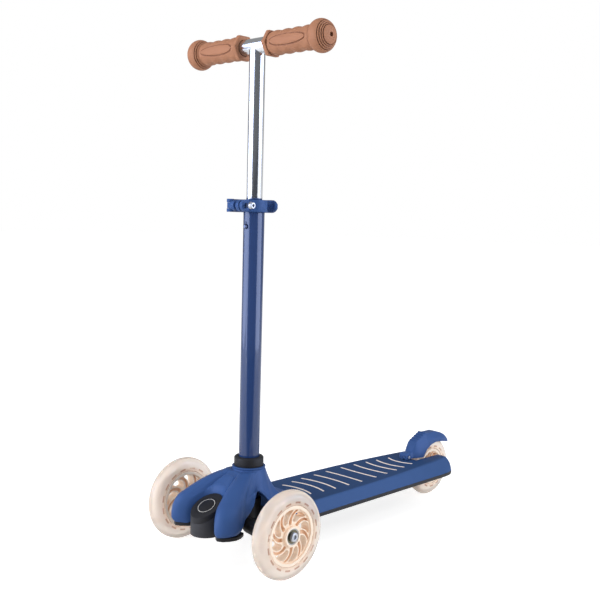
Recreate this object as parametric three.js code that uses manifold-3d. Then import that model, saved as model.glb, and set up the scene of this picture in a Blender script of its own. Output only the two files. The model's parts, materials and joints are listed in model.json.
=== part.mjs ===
// A three wheel kids scooter: two front wheels on a truck that leans to steer, one rear wheel with a
// foot brake, a deck with grip strips, and a T handlebar that slides in a quick release stem.
// Millimetres, Z up. The rider faces -Y and has +X on the left. Pieces are placed from the ground
// point under the front axle, and the whole is then moved so that its box stands on the origin.
import * as THREE from 'three';
import { mergeVertices } from 'three/addons/utils/BufferGeometryUtils.js';
import Module from 'manifold-3d';

const wasm = await Module();
wasm.setup();

// Clearances and facets
const fitGap = 0.3;
const runGap = 0.6;
const cutOverrun = 4;
const weldDistance = 0.0001;
const smallSides = 16;
const roundSides = 28;
const wheelSides = 36;
const hexSides = 6;

// Wheels, tyres and bearings
const frontWheelRadius = 60;
const rearWheelRadius = 50;
const trackHalf = 109.1;
const wheelbase = 461;
const tyreDepth = 19;
const tyreHalfWidth = 11;
const hubHalfWidth = 11.6;
const rimWall = 4;
const rimHalfWidth = 9.5;
const hubBossRadius = 13.6;
const webHalfWidth = 7.2;
const spokeCount = 8;
const spokeWidth = 8.6;
const spokeRibWidth = 1.5;
const spokeGrooveDepth = 5;
const spokeSwirl = THREE.MathUtils.degToRad(30);
const spokeEnd = THREE.MathUtils.degToRad(156);
const windowLead = 5;
const bearingRadius = 11;
const bearingBore = 4;
const bearingWidth = 7;
const bearingRecess = 1;
const axleRadius = 3.8;
const spacerRadius = 6.4;

// Stem, handlebar and clamp
const stemSetback = 30.5;
const lowerTubeRadius = 14.75;
const lowerTubeWall = 1.9;
const lowerTubeTop = 500;
const barTubeRadius = 11.1;
const barTubeWall = 1.6;
const barHeight = 710;
const barTravel = 130;
const barOverlap = 45;
const barInsert = barTravel + barOverlap;
const crossbarHalf = 104;
const sleeveLength = 60;
const collarRadius = 21;
const collarBottom = 127;
const collarTop = 140;
const clampHeight = 16.5;
const clampWall = 3.4;
const clampDrop = 7.3;
const clampCentreZ = lowerTubeTop - clampDrop;
const clampSetback = 22;
const clampSplit = 2.4;
const clampEarLeft = 8;
const clampEarRight = 5.4;
const clampBoltRadius = 2.9;
const boltHeadRadius = 4.9;
const boltHeadLength = 6;
const boltReach = 16;
const camNeckRadius = 3.9;
const camNeckLength = 5.6;
const camRadius = 7;
const leverKnuckle = 5;
const tongueThick = 8;
const leverRadius = 30;
const leverThickness = 4.4;
const leverHeight = 18;
const leverSweep = THREE.MathUtils.degToRad(158);
const leverPinRadius = 2.4;
const leverClearance = 1.8;
const leverCamReach = 25;
const buttonRadius = 3;
const buttonDrop = 36;
const buttonHeight = lowerTubeTop - buttonDrop;
const buttonTravel = 2.5;
const buttonProud = 3;
const buttonRound = 0.8;
const collarRound = 1.6;

// Grips
const gripInner = 26;
const gripFlangeWidth = 6.5;
const gripFlangeRadius = 19.4;
const gripRadius = 15.2;
const gripBump = 1.3;
const gripBumpCount = 4;
const gripEnd = 136.5;
const bulbRadius = 21.8;
const bulbHalfWidth = 17;
const gripHoleRadius = 3;
const gripSides = 20;

// Deck
const deckFrontY = 108;
const deckOverhang = 12;
const deckRearY = wheelbase + deckOverhang;
const deckBottom = 46.5;
const deckSeam = 52;
const deckTop = 71;
const deckFrontHalf = 61;
const deckRearHalf = 58.5;
const deckTopInset = 5.5;
const deckTaper = 22.5;
const deckWall = 3;
const deckCornerX = 25;
const deckCornerY = 38;
const slotHalf = 16.9;
const slotTyreGap = 5;
const slotFrontY = wheelbase - rearWheelRadius - slotTyreGap;
const deckRearLean = 5;
const noseLength = 34;
const noseChamfer = 9;
const cheekLength = 24;
const axlePocketDepth = 10;
const stripeWidth = 3;
const stripeDepth = 1.6;
const stripeProud = 0.4;
const stripeReferenceHalf = 42.2;

// Front housing
const frontBottom = 48.8;
const frontSeam = 53.5;
const neckHeight = 121.6;
const neckLip = 5.1;
const neckRadius = 24;
const coverWall = 2.5;
const coverLipRise = 2;
const coverLip = deckTop + coverLipRise;
const shoulderInset = 16;
const lobeTuck = 6;
const tuckHeight = 14;
const lobeForward = 52.3;
const lobeTipRadius = 17;
const waistHalf = 21;
const waistFront = 25;
const waistRear = 45;
const socketWall = 3.4;
const socketTop = 80;
const drumForward = 47;
const drumRadius = 21.5;
const drumWall = 2.6;
const drumBottom = 44.7;
const drumGap = 1.3;
const capHeight = 83;
const capThickness = 6.6;
const badgeRadius = 14.3;
const badgeDepth = 1.2;

// Truck and kingpin
const kingpinRake = THREE.MathUtils.degToRad(30);
const kingpinRadius = 4;
const kingpinHeadRadius = 6.5;
const kingpinHead = 3.8;
const bulkheadThickness = 4.4;
const wedgeRim = 2.4;
const wedgeBottom = 40.5;
const wedgeSeat = 4.4;
const nutHeight = 4.6;
const bushingRadius = 11;
const bushingHeight = 5.6;
const truckBossRadius = 13;
const truckBossHeight = 13;
const truckArmHalf = 8.5;
const truckArmThick = 7;
const truckArmDrop = 4;
const armRoomDepth = 2;
const armRoomFront = 4;
const spineHalf = 11;
const spineRear = 6;
const spineTop = 67;
const spineClearance = 1.8;
const boltIntoArm = 24;

// Brake
const brakePivotLead = 10;
const brakePivotY = slotFrontY - brakePivotLead;
const brakePivotRise = 5;
const brakePivotZ = deckTop + brakePivotRise;
const brakePinRadius = 1.8;
const hingeBossRadius = 3.4;
const brakeHalfWidth = 15.9;
const brakeFrontHalf = 8.6;
const brakeWall = 2.4;
const brakePadHalf = 7.6;
const brakeClearance = 5.4;
const brakeSideGap = 2.7;
const brakeCrownHalf = 9;
const brakeShoulder = 5;
const earGap = 1.2;
const hingeClearance = 0.9;
const shoeLength = 26;
const ribCount = 5;
const ribWidth = 2;
const ribHeight = 1;
const brakeOverhang = 2;
const brakeTailY = wheelbase + rearWheelRadius + brakeOverhang;
const brakeCrestGap = 11.2;
const brakeCrest = 2 * rearWheelRadius + brakeCrestGap;
const brakeTopHalf = 7.6;
const springWire = 1.2;
const springLeg = 8;
const springRise = 0.5;
const springTurns = 1.5;

// Materials
function finish(color, roughness, metalness) {
  return new THREE.MeshStandardMaterial({ color, roughness, metalness });
}
const bluePlastic = finish('#35568f', 0.42, 0);
const bluePaint = finish('#27457e', 0.22, 0.15);
const blackPlastic = finish('#26262a', 0.55, 0);
const creamPlastic = finish('#f3d9b6', 0.4, 0);
const creamStrip = finish('#ecdcc8', 0.6, 0);
const clearTyre = finish('#ead8cd', 0.3, 0);
const brownRubber = finish('#a9704f', 0.7, 0);
const darkRubber = finish('#1d1d1f', 0.85, 0);
const brightAluminium = finish('#d9dce0', 0.25, 1);
const zincSteel = finish('#b9bcc0', 0.35, 1);

// Solids: closed geometries are welded, turned to face outwards and handed to the cutter
function signedVolume(position, triangles) {
  const a = new THREE.Vector3();
  const b = new THREE.Vector3();
  const c = new THREE.Vector3();
  let volume = 0;
  for (const [i, j, k] of triangles) {
    a.fromBufferAttribute(position, i);
    b.fromBufferAttribute(position, j);
    c.fromBufferAttribute(position, k);
    volume += a.dot(b.cross(c));
  }
  return volume;
}

function solid(geometry) {
  const bare = new THREE.BufferGeometry();
  bare.setAttribute('position', geometry.getAttribute('position').clone());
  if (geometry.index) bare.setIndex(geometry.index.clone());
  const welded = mergeVertices(bare, weldDistance);
  const corner = welded.index.array;
  const triangles = [];
  for (let i = 0; i < corner.length; i += 3) {
    const [p, q, r] = [corner[i], corner[i + 1], corner[i + 2]];
    if (p !== q && q !== r && r !== p) triangles.push([p, q, r]);
  }
  const position = welded.getAttribute('position');
  if (signedVolume(position, triangles) < 0) triangles.forEach((triangle) => triangle.reverse());
  return new wasm.Manifold(new wasm.Mesh({
    numProp: 3,
    vertProperties: new Float32Array(position.array),
    triVerts: new Uint32Array(triangles.flat()),
  }));
}

function join(first, ...others) {
  return others.reduce((sum, other) => sum.add(other), first);
}

function cut(first, ...others) {
  return others.reduce((rest, other) => rest.subtract(other), first);
}

const pieces = [];
function piece(name, body, material) {
  const mesh = body.getMesh();
  const geometry = new THREE.BufferGeometry();
  geometry.setAttribute('position', new THREE.BufferAttribute(mesh.vertProperties, 3));
  geometry.setIndex(new THREE.BufferAttribute(mesh.triVerts, 1));
  geometry.computeVertexNormals();
  const node = new THREE.Mesh(geometry, material);
  node.name = name;
  pieces.push(node);
  return node;
}

// A profile of [radius, height] points turned about Z; a ring's profile closes on itself
function turned(profile, sides, closed = false) {
  const points = profile.map(([radius, height]) => new THREE.Vector2(radius, height));
  if (closed) points.push(points[0].clone());
  return new THREE.LatheGeometry(points, sides).rotateX(Math.PI / 2);
}

function rod(radius, low, high, sides = roundSides) {
  return turned([[0, low], [radius, low], [radius, high], [0, high]], sides);
}

function ring(inner, outer, low, high, sides = roundSides) {
  return turned([[inner, low], [outer, low], [outer, high], [inner, high]], sides, true);
}

function hexNut(bore, radius, low, high) {
  const hole = rod(bore, low - cutOverrun, high + cutOverrun, smallSides);
  return solid(rod(radius, low, high, hexSides)).subtract(solid(hole));
}

function moved(body, geometryMove) {
  const mesh = body.getMesh();
  const geometry = new THREE.BufferGeometry();
  geometry.setAttribute('position', new THREE.BufferAttribute(mesh.vertProperties, 3));
  geometry.setIndex(new THREE.BufferAttribute(mesh.triVerts, 1));
  return solid(geometryMove(geometry));
}

function alongX(geometry) {
  return geometry.rotateY(Math.PI / 2);
}

function box(lowX, highX, lowY, highY, lowZ, highZ) {
  const geometry = new THREE.BoxGeometry(highX - lowX, highY - lowY, highZ - lowZ);
  return geometry.translate((lowX + highX) / 2, (lowY + highY) / 2, (lowZ + highZ) / 2);
}

function plate(points, low, high) {
  const outline = new THREE.Shape(points.map(([x, y]) => new THREE.Vector2(x, y)));
  const geometry = new THREE.ExtrudeGeometry(outline, { depth: high - low, bevelEnabled: false });
  return geometry.translate(0, 0, low);
}

function arcPoints(centreX, centreY, radiusX, radiusY, from, to, steps) {
  return Array.from({ length: steps + 1 }, (_, i) => {
    const angle = from + (to - from) * (i / steps);
    return [centreX + radiusX * Math.cos(angle), centreY + radiusY * Math.sin(angle)];
  });
}

// Rings of matching points skinned into one closed body; the end caps fan out from their middle, or from
// the given X and Y
function loft(rings, fanX, fanY) {
  const count = rings[0].length;
  const last = rings.length - 1;
  const places = rings.flat();
  const triangles = [];
  for (let row = 0; row < last; row += 1) {
    for (let i = 0; i < count; i += 1) {
      const a = row * count + i;
      const b = row * count + (i + 1) % count;
      triangles.push(a, b, b + count, a, b + count, a + count);
    }
  }
  for (const [row, turn] of [[0, 1], [last, -1]]) {
    const middle = new THREE.Vector3();
    rings[row].forEach((point) => middle.add(point));
    middle.divideScalar(count);
    if (fanY !== undefined) middle.setX(fanX).setY(fanY);
    places.push(middle);
    for (let i = 0; i < count; i += 1) {
      const edge = [row * count + i, row * count + (i + 1) % count];
      if (turn > 0) edge.reverse();
      triangles.push(edge[0], edge[1], places.length - 1);
    }
  }
  const geometry = new THREE.BufferGeometry().setFromPoints(places);
  geometry.setIndex(triangles);
  return geometry;
}

// Places on the kingpin: Z runs up its raked axis from the middle of the slanted cap
function onKingpin(geometry) {
  return geometry.rotateX(kingpinRake).translate(0, -drumForward, capHeight);
}

// Wheels: a moulded hub with swept channel spokes, a cast tyre and two ball bearings each
const spokeSweepShare = 2.1;
const sweepSteps = 3;
// An outline that follows the spokes' sweep: each side runs beside the middle line of one spoke
function sweptPlate(sides, inner, outer, rimInner, low, high) {
  const pitch = 2 * Math.PI / spokeCount;
  const edge = ([index, beside], i) => {
    const radius = inner + (outer - inner) * (i / sweepSteps);
    const share = (radius - hubBossRadius) / (rimInner - hubBossRadius);
    const sweep = spokeEnd + spokeSwirl * (1 - share ** spokeSweepShare);
    const angle = index * pitch + sweep + beside / radius;
    return [radius * Math.cos(angle), radius * Math.sin(angle)];
  };
  const near = Array.from({ length: sweepSteps + 1 }, (_, i) => edge(sides[0], i));
  const far = Array.from({ length: sweepSteps + 1 }, (_, i) => edge(sides[1], sweepSteps - i));
  return plate([...near, ...far], low, high);
}

function hubBody(wheelRadius) {
  const rimOuter = wheelRadius - tyreDepth - fitGap;
  const rimInner = rimOuter - rimWall;
  const pocket = bearingRadius + fitGap / 2;
  const shoulder = hubHalfWidth - bearingRecess - bearingWidth - fitGap;
  const through = spacerRadius + fitGap;
  const rim = ring(rimInner, rimOuter, -rimHalfWidth, rimHalfWidth, wheelSides);
  const web = ring(hubBossRadius - fitGap, rimInner + fitGap, -webHalfWidth, webHalfWidth, wheelSides);
  const boss = turned([
    [pocket, -hubHalfWidth], [hubBossRadius, -hubHalfWidth], [hubBossRadius, hubHalfWidth],
    [pocket, hubHalfWidth], [pocket, shoulder], [through, shoulder],
    [through, -shoulder], [pocket, -shoulder],
  ], roundSides, true);
  const inner = hubBossRadius + fitGap;
  const outer = rimInner - fitGap;
  const half = spokeWidth / 2;
  const grooveHalf = half - spokeRibWidth;
  const cutEnd = webHalfWidth + cutOverrun;
  const grooveFloor = webHalfWidth - spokeGrooveDepth;
  const openings = Array.from({ length: spokeCount }, (_, i) => [
    sweptPlate([[i, half], [i + 1, -half]], inner + windowLead, outer, rimInner, -cutEnd, cutEnd),
    sweptPlate([[i, -grooveHalf], [i, grooveHalf]], inner, outer, rimInner, grooveFloor, cutEnd),
  ]).flat();
  return cut(join(solid(rim), solid(web), solid(boss)), ...openings.map((opening) => solid(opening)));
}

function tyreProfile(wheelRadius) {
  const inner = wheelRadius - tyreDepth;
  const beadShare = 0.25;
  const sideShare = 0.72;
  const sideWidthShare = 0.93;
  const crownDropShare = 0.07;
  const crownWidthShare = 0.6;
  const treadWidthShare = 0.2;
  const bead = inner + tyreDepth * beadShare;
  const side = inner + tyreDepth * sideShare;
  const crown = wheelRadius - tyreDepth * crownDropShare;
  const foot = rimHalfWidth + (tyreHalfWidth - rimHalfWidth) / 2;
  const half = [
    [inner, foot], [bead, tyreHalfWidth], [side, tyreHalfWidth * sideWidthShare],
    [crown, tyreHalfWidth * crownWidthShare], [wheelRadius, tyreHalfWidth * treadWidthShare],
  ];
  return [...half.map(([radius, x]) => [radius, -x]), ...half.slice().reverse()];
}

function wheel(prefix, wheelRadius, x, y) {
  const turn = x < 0 ? Math.PI : 0;
  const place = (geometry) => alongX(geometry).rotateZ(turn).translate(x, y, wheelRadius);
  const bearingOuter = hubHalfWidth - bearingRecess;
  piece(`${prefix}_tyre`, solid(place(turned(tyreProfile(wheelRadius), wheelSides, true))), clearTyre);
  piece(`${prefix}_hub`, moved(hubBody(wheelRadius), place), creamPlastic);
  for (const [side, sign] of [['outer', 1], ['inner', -1]]) {
    const faces = [sign * (bearingOuter - bearingWidth), sign * bearingOuter];
    const [low, high] = faces.sort((a, b) => a - b);
    const race = ring(bearingBore, bearingRadius, low, high, smallSides);
    piece(`${prefix}_bearing_${side}`, solid(place(race)), zincSteel);
  }
}

wheel('front_left', frontWheelRadius, trackHalf, 0);
wheel('front_right', frontWheelRadius, -trackHalf, 0);
wheel('rear', rearWheelRadius, 0, wheelbase);

// Axle bolts: each passes its wheel's bearings and a spacer, and the front ones screw into the truck
const headSideShare = 0.7;
const headFaceShare = 0.82;
const socketRadiusShare = 0.48;
const socketFloorShare = 0.35;
function hexSocketBolt(headRadius, headLength, shankRadius, shankLength, sides) {
  const body = turned([
    [0, -shankLength], [shankRadius, -shankLength], [shankRadius, 0], [headRadius, 0],
    [headRadius, headLength * headSideShare], [headRadius * headFaceShare, headLength], [0, headLength],
  ], sides);
  const socket = rod(
    headRadius * socketRadiusShare, headLength * socketFloorShare, headLength + cutOverrun, hexSides,
  );
  return { body, socket };
}

const spacerHalf = hubHalfWidth - bearingRecess - bearingWidth - fitGap;
const axleHeadRadius = 6.6;
const axleHeadLength = 4.2;
const bearingFace = trackHalf + hubHalfWidth - bearingRecess;
for (const [side, sign] of [['left', 1], ['right', -1]]) {
  const shankLength = 2 * (hubHalfWidth - bearingRecess) + 2 * fitGap + boltIntoArm;
  const { body, socket } = hexSocketBolt(axleHeadRadius, axleHeadLength, axleRadius, shankLength, smallSides);
  const place = (geometry) => {
    const turn = sign > 0 ? Math.PI / 2 : -Math.PI / 2;
    return geometry.rotateY(turn).translate(sign * (bearingFace + fitGap), 0, frontWheelRadius);
  };
  piece(`front_${side}_axle_bolt`, cut(solid(place(body)), solid(place(socket))), zincSteel);
  const spacer = alongX(ring(bearingBore + fitGap / 2, spacerRadius, -spacerHalf, spacerHalf, smallSides));
  spacer.translate(sign * trackHalf, 0, frontWheelRadius);
  piece(`front_${side}_spacer`, solid(spacer), zincSteel);
}

const rearFace = hubHalfWidth - bearingRecess;
const rearHeadLength = 5;
const rearNutLength = 6;
const rearThreadProud = 1.8;
const slotWallOuter = slotHalf + deckWall;
const rearSeat = slotWallOuter + fitGap;
const rearBoltEnd = -rearSeat - rearNutLength - rearThreadProud;
const rearBolt = turned([
  [0, rearBoltEnd], [axleRadius, rearBoltEnd], [axleRadius, rearSeat], [axleHeadRadius, rearSeat],
  [axleHeadRadius, rearSeat + rearHeadLength], [0, rearSeat + rearHeadLength],
], smallSides);
const atRearAxle = (geometry) => alongX(geometry).translate(0, wheelbase, rearWheelRadius);
piece('rear_axle_bolt', solid(atRearAxle(rearBolt)), zincSteel);
piece('rear_axle_nut', moved(hexNut(
  bearingBore + fitGap / 2, axleHeadRadius, -rearSeat - rearNutLength, -rearSeat,
), atRearAxle), zincSteel);
piece('rear_spacer', solid(atRearAxle(ring(
  bearingBore + fitGap / 2, spacerRadius, -spacerHalf, spacerHalf, smallSides,
))), zincSteel);
for (const [side, sign] of [['left', 1], ['right', -1]]) {
  const ends = [sign * (rearFace + fitGap), sign * (slotHalf - fitGap)].sort((a, b) => a - b);
  const sleeve = ring(bearingBore + fitGap / 2, spacerRadius, ends[0], ends[1], smallSides);
  piece(`rear_sleeve_${side}`, solid(atRearAxle(sleeve)), zincSteel);
}

// Deck: a hollow blue shell with a slot for the rear wheel, closed below by a black base
const deckLength = deckRearY - deckFrontY;
const deckTaperPower = 2.9;
const deckStationShares = [0, 0.12, 0.3, 0.45, 0.58, 0.68, 0.77, 0.85, 0.92, 1];
const deckEdgeShare = 0.4;
const deckSideShare = 0.12;

function deckHalf(y) {
  const share = (y - deckFrontY) / deckLength;
  return deckFrontHalf + (deckRearHalf - deckFrontHalf) * share;
}

function deckTopHalf(y) {
  const share = Math.max(0, (y - deckFrontY) / deckLength);
  return deckHalf(y) - deckTopInset - deckTaper * share ** deckTaperPower;
}

function deckSection(y, inset, low, high) {
  const foot = deckHalf(y) - inset;
  const crest = deckTopHalf(y) - inset;
  const edge = deckWall * deckEdgeShare;
  const half = [
    [foot, low], [crest + (foot - crest) * deckSideShare, high - edge], [crest - edge, high],
  ];
  const mirrored = half.map(([x, z]) => [-x, z]).reverse();
  return [...half, ...mirrored].map(([x, z]) => new THREE.Vector3(x, y, z));
}

function deckBlock(inset, low, high, fromY, toY) {
  const rings = deckStationShares.map((share) => (
    deckSection(fromY + (toY - fromY) * share, inset, low, high)));
  return loft(rings);
}

function deckPlan(inset, low, high) {
  const cornerCentreX = deckRearHalf - deckCornerX;
  const cornerCentreY = deckRearY - deckCornerY;
  const steps = 6;
  const wide = deckFrontHalf + deckCornerX;
  const front = deckFrontY - noseLength;
  const rings = [low, high].map((z) => {
    const lean = inset + deckRearLean * Math.max(0, z - deckSeam) / (deckTop - deckSeam);
    const right = arcPoints(
      cornerCentreX, cornerCentreY, deckCornerX - lean, deckCornerY - lean, 0, Math.PI / 2, steps,
    );
    const left = right.map(([x, y]) => [-x, y]).reverse();
    const outline = [
      [-wide, front], [wide, front], [wide, deckFrontY], ...right, ...left, [-wide, deckFrontY],
    ];
    return outline.map(([x, y]) => new THREE.Vector3(x, y, z));
  });
  return loft(rings);
}

const axlePocketRadius = axleHeadRadius + runGap;
const cheekBottom = rearWheelRadius - axlePocketRadius;
const slotCut = box(
  -slotHalf, slotHalf, slotFrontY, deckRearY + cutOverrun, cheekBottom - cutOverrun, deckTop + cutOverrun,
);
const noseSideGap = 4.25;
const noseTopGap = 3.5;
const noseHalf = deckFrontHalf - noseSideGap - fitGap;
const noseTop = coverLip - noseTopGap - fitGap;
const shellLow = deckSeam + fitGap;
const shellOuter = solid(deckBlock(0, shellLow, deckTop, deckFrontY, deckRearY))
  .intersect(solid(deckPlan(0, deckSeam, deckTop + cutOverrun)));
const deckRoom = solid(deckPlan(deckWall, deckSeam - cutOverrun * 2, deckSeam))
  .add(solid(deckPlan(deckWall, deckSeam, deckTop + cutOverrun)));
const shellInner = solid(deckBlock(
  deckWall, shellLow - cutOverrun, deckTop - deckWall, deckFrontY + deckWall, deckRearY - deckWall,
)).intersect(deckRoom);
const slotWalls = solid(box(
  -slotHalf - deckWall, slotHalf + deckWall, slotFrontY - deckWall, deckRearY,
  shellLow, deckTop - deckWall / 2,
)).intersect(shellOuter);
function noseBlock(inset, low, fromY, toY) {
  const half = noseHalf - inset;
  const high = noseTop - inset;
  const profile = [
    [-half, low], [half, low], [half, high - noseChamfer], [half - noseChamfer, high],
    [-half + noseChamfer, high], [-half, high - noseChamfer],
  ];
  return solid(plate(profile, -toY, -fromY).rotateX(Math.PI / 2));
}
const nose = noseBlock(0, frontSeam + fitGap, deckFrontY - noseLength, deckFrontY + deckWall);
const noseHollow = noseBlock(
  deckWall, shellLow - cutOverrun, deckFrontY - noseLength + deckWall, deckFrontY + deckWall * 2,
);

// Grip strips: bowed cream bars in grooves, bowed rearwards in front and forwards at the back
const stripePlaceShares = [0.06, 0.126, 0.192, 0.273, 0.355, 0.453, 0.536, 0.612, 0.678, 0.753];
const stripePlaces = stripePlaceShares.map((share) => deckFrontY + deckLength * share);
const stripeHalfShares = [0.7, 0.79, 0.85, 0.87, 0.89, 0.88, 0.83, 0.77, 0.7, 0.6];
const stripeBowShares = [0.11, 0.1, 0.08, 0.05, 0.02, -0.02, -0.05, -0.08, -0.11, -0.15];

function stripeBar(index, grow, low, high) {
  const place = stripePlaces[index];
  const half = stripeReferenceHalf * stripeHalfShares[index];
  const bow = half * 2 * stripeBowShares[index];
  const steps = 8;
  const width = stripeWidth / 2 + grow;
  const line = (side) => Array.from({ length: steps + 1 }, (_, i) => {
    const along = (2 * i / steps - 1) * side;
    return [along * (half + grow), place + bow * (1 - along * along) - side * width];
  });
  return plate([...line(1), ...line(-1)], low, high);
}

const grooves = stripePlaces.map((_, i) => (
  solid(stripeBar(i, fitGap, deckTop - stripeDepth - fitGap, deckTop + cutOverrun))));

// The brake's hinge boss stands on the deck between the fender's ears
const hingeBossHalf = brakeFrontHalf - brakeWall - earGap;
const hingeBoss = join(
  solid(alongX(rod(hingeBossRadius, -hingeBossHalf, hingeBossHalf, smallSides))
    .translate(0, brakePivotY, brakePivotZ)),
  solid(box(
    -hingeBossHalf, hingeBossHalf, brakePivotY - hingeBossRadius, brakePivotY + hingeBossRadius,
    deckTop - deckWall, brakePivotZ,
  )),
);
const hingeBore = alongX(rod(brakePinRadius + fitGap, -deckRearHalf, deckRearHalf, smallSides))
  .translate(0, brakePivotY, brakePivotZ);
const springSlotHalf = springWire * 2;
const springSlot = box(
  -springSlotHalf, springSlotHalf, brakePivotY - hingeBossRadius - fitGap, brakePivotY + springLeg,
  deckTop, brakePivotZ + hingeBossRadius + fitGap,
);
const axleBore = solid(atRearAxle(rod(axleRadius + fitGap, -rearSeat, rearSeat, smallSides)));
const deckShell = cut(
  join(cut(shellOuter, shellInner), slotWalls, cut(nose, noseHollow), hingeBoss),
  solid(slotCut), solid(hingeBore), solid(springSlot), axleBore, ...grooves,
);
piece('deck_shell', deckShell, bluePlastic);

const basePlan = solid(deckPlan(0, deckBottom, deckSeam))
  .intersect(solid(plate([
    [-deckFrontHalf, deckFrontY + fitGap], [deckFrontHalf, deckFrontY + fitGap],
    [deckRearHalf, deckRearY], [-deckRearHalf, deckRearY],
  ], deckBottom, deckSeam)));
// The base carries the rear axle in two cheeks, with room beside them for the bolt's head and nut
const cheeks = solid(box(
  -slotWallOuter, slotWallOuter, wheelbase - cheekLength / 2, deckRearY - fitGap, cheekBottom, deckSeam,
));
const axlePockets = [-1, 1].map((sign) => {
  const [low, high] = [sign * slotWallOuter, sign * (slotWallOuter + axlePocketDepth)].sort((a, b) => a - b);
  return solid(atRearAxle(rod(axlePocketRadius, low, high, smallSides)));
});
piece('deck_base', cut(join(basePlan, cheeks), solid(slotCut), axleBore, ...axlePockets), blackPlastic);
stripePlaces.forEach((_, i) => {
  const bar = stripeBar(i, 0, deckTop - stripeDepth, deckTop + stripeProud);
  piece(`deck_stripe_${i + 1}`, solid(bar), creamStrip);
});

// Front cover: its rim from the front middle round the left side to the rear middle. Each row gives, as
// shares, the place across and along, the height of the rim, the height and the inset of the rounded
// shoulder above it, and last the swell and the fall of the slope that leads down from the neck.
const coverRimShares = [
  [0, -0.551, 0.515, 0.818, 0.59, 1.4, 1],
  [0.198, -0.582, 0.4, 0.79, 0.56, 1.4, 1],
  [0.322, -0.658, 0.255, 0.688, 0.5, 1.4, 1],
  [0.405, -0.767, 0.112, 0.616, 0.5, 1.5, 1],
  [0.499, -0.885, 0, 0.545, 0.62, 1.6, 1],
  [0.628, -0.963, 0, 0.573, 0.81, 1.7, 1],
  [0.752, -1, 0, 0.6, 0.97, 1.7, 1],
  [0.874, -0.964, 0.006, 0.6, 1, 1.7, 1],
  [0.965, -0.885, 0.016, 0.59, 0.94, 1.7, 1],
  [1.02, -0.785, 0.034, 0.58, 0.87, 1.7, 1],
  [0.99, -0.685, 0.075, 0.58, 0.81, 1.7, 1],
  [0.895, -0.58, 0.14, 0.587, 0.62, 1.6, 1],
  [0.777, -0.486, 0.198, 0.6, 0.5, 1.5, 1],
  [0.645, -0.326, 0.255, 0.59, 0.31, 1.3, 1],
  [0.595, -0.266, 0.298, 0.6, 0.25, 1.2, 1],
  [0.521, -0.175, 0.371, 0.63, 0.16, 1.1, 1],
  [0.529, -0.125, 0.645, 0.667, 0.06, 1, 1.2],
  [0.612, -0.055, 0.573, 0.595, 0.06, 1, 1.3],
  [0.694, 0.032, 0.4, 0.47, 0.12, 1, 1.6],
  [0.826, 0.148, 0.111, 0.4, 0.25, 1, 2.2],
  [0.942, 0.277, 0, 0.342, 0.31, 1, 3],
  [1, 0.51, 0, 0.317, 0.37, 1, 3.8],
  [1, 0.897, 0, 0.301, 0.4, 1, 4.2],
  [0.992, 0.987, 0.04, 0.299, 0.37, 1, 4.2],
  [0.926, 1, 0.226, 0.299, 0.19, 1, 4.2],
  [0.86, 1, 0.255, 0.299, 0.1, 1, 4.2],
  [0.496, 1, 0.255, 0.299, 0.1, 1, 3.6],
  [0, 1, 0.255, 0.299, 0.1, 1, 3.1],
];
const slopeShares = [0, 0.16, 0.32, 0.48, 0.64, 0.8, 1];
const roundSteps = 3;
const roundDropShare = 1.9;
const roundLimitShare = 0.7;
const neckEvenShare = 0.5;
const coverLowering = 1.3;
const coverLow = frontSeam + fitGap;
const coverRise = neckHeight - coverLow;
const coverTop = neckHeight + neckLip;
const coverHalf = deckFrontHalf - fitGap;
const coverRearReach = deckFrontY - fitGap - stemSetback;
const coverFrontReach = stemSetback + lobeForward + lobeTipRadius;

const coverRim = coverRimShares.map(([across, along, rim, shoulder, inset, swell, fall], i) => ({
  x: across * coverHalf,
  y: stemSetback + along * (along < 0 ? coverFrontReach : coverRearReach),
  z: coverLow + rim * coverRise,
  crest: coverLow + shoulder * coverRise,
  inset: inset * shoulderInset,
  evenHeading: Math.PI * (i / (coverRimShares.length - 1)),
  swell,
  fall,
}));
const coverRimRight = coverRim.slice(1, -1).reverse().map((key) => ({
  ...key, x: -key.x, evenHeading: -key.evenHeading,
}));
const coverLoop = [...coverRim, ...coverRimRight];

// Moves a closed outline inwards; seen from above it runs counter-clockwise
function insetOutline(points, distance) {
  const count = points.length;
  return points.map(([x, y], i) => {
    const [fromX, fromY] = points[(i + count - 1) % count];
    const [toX, toY] = points[(i + 1) % count];
    const chord = Math.hypot(toX - fromX, toY - fromY);
    return [x - distance * (toY - fromY) / chord, y + distance * (toX - fromX) / chord];
  });
}

const coverOutline = coverLoop.map(({ x, y }) => [x, y]);

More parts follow.
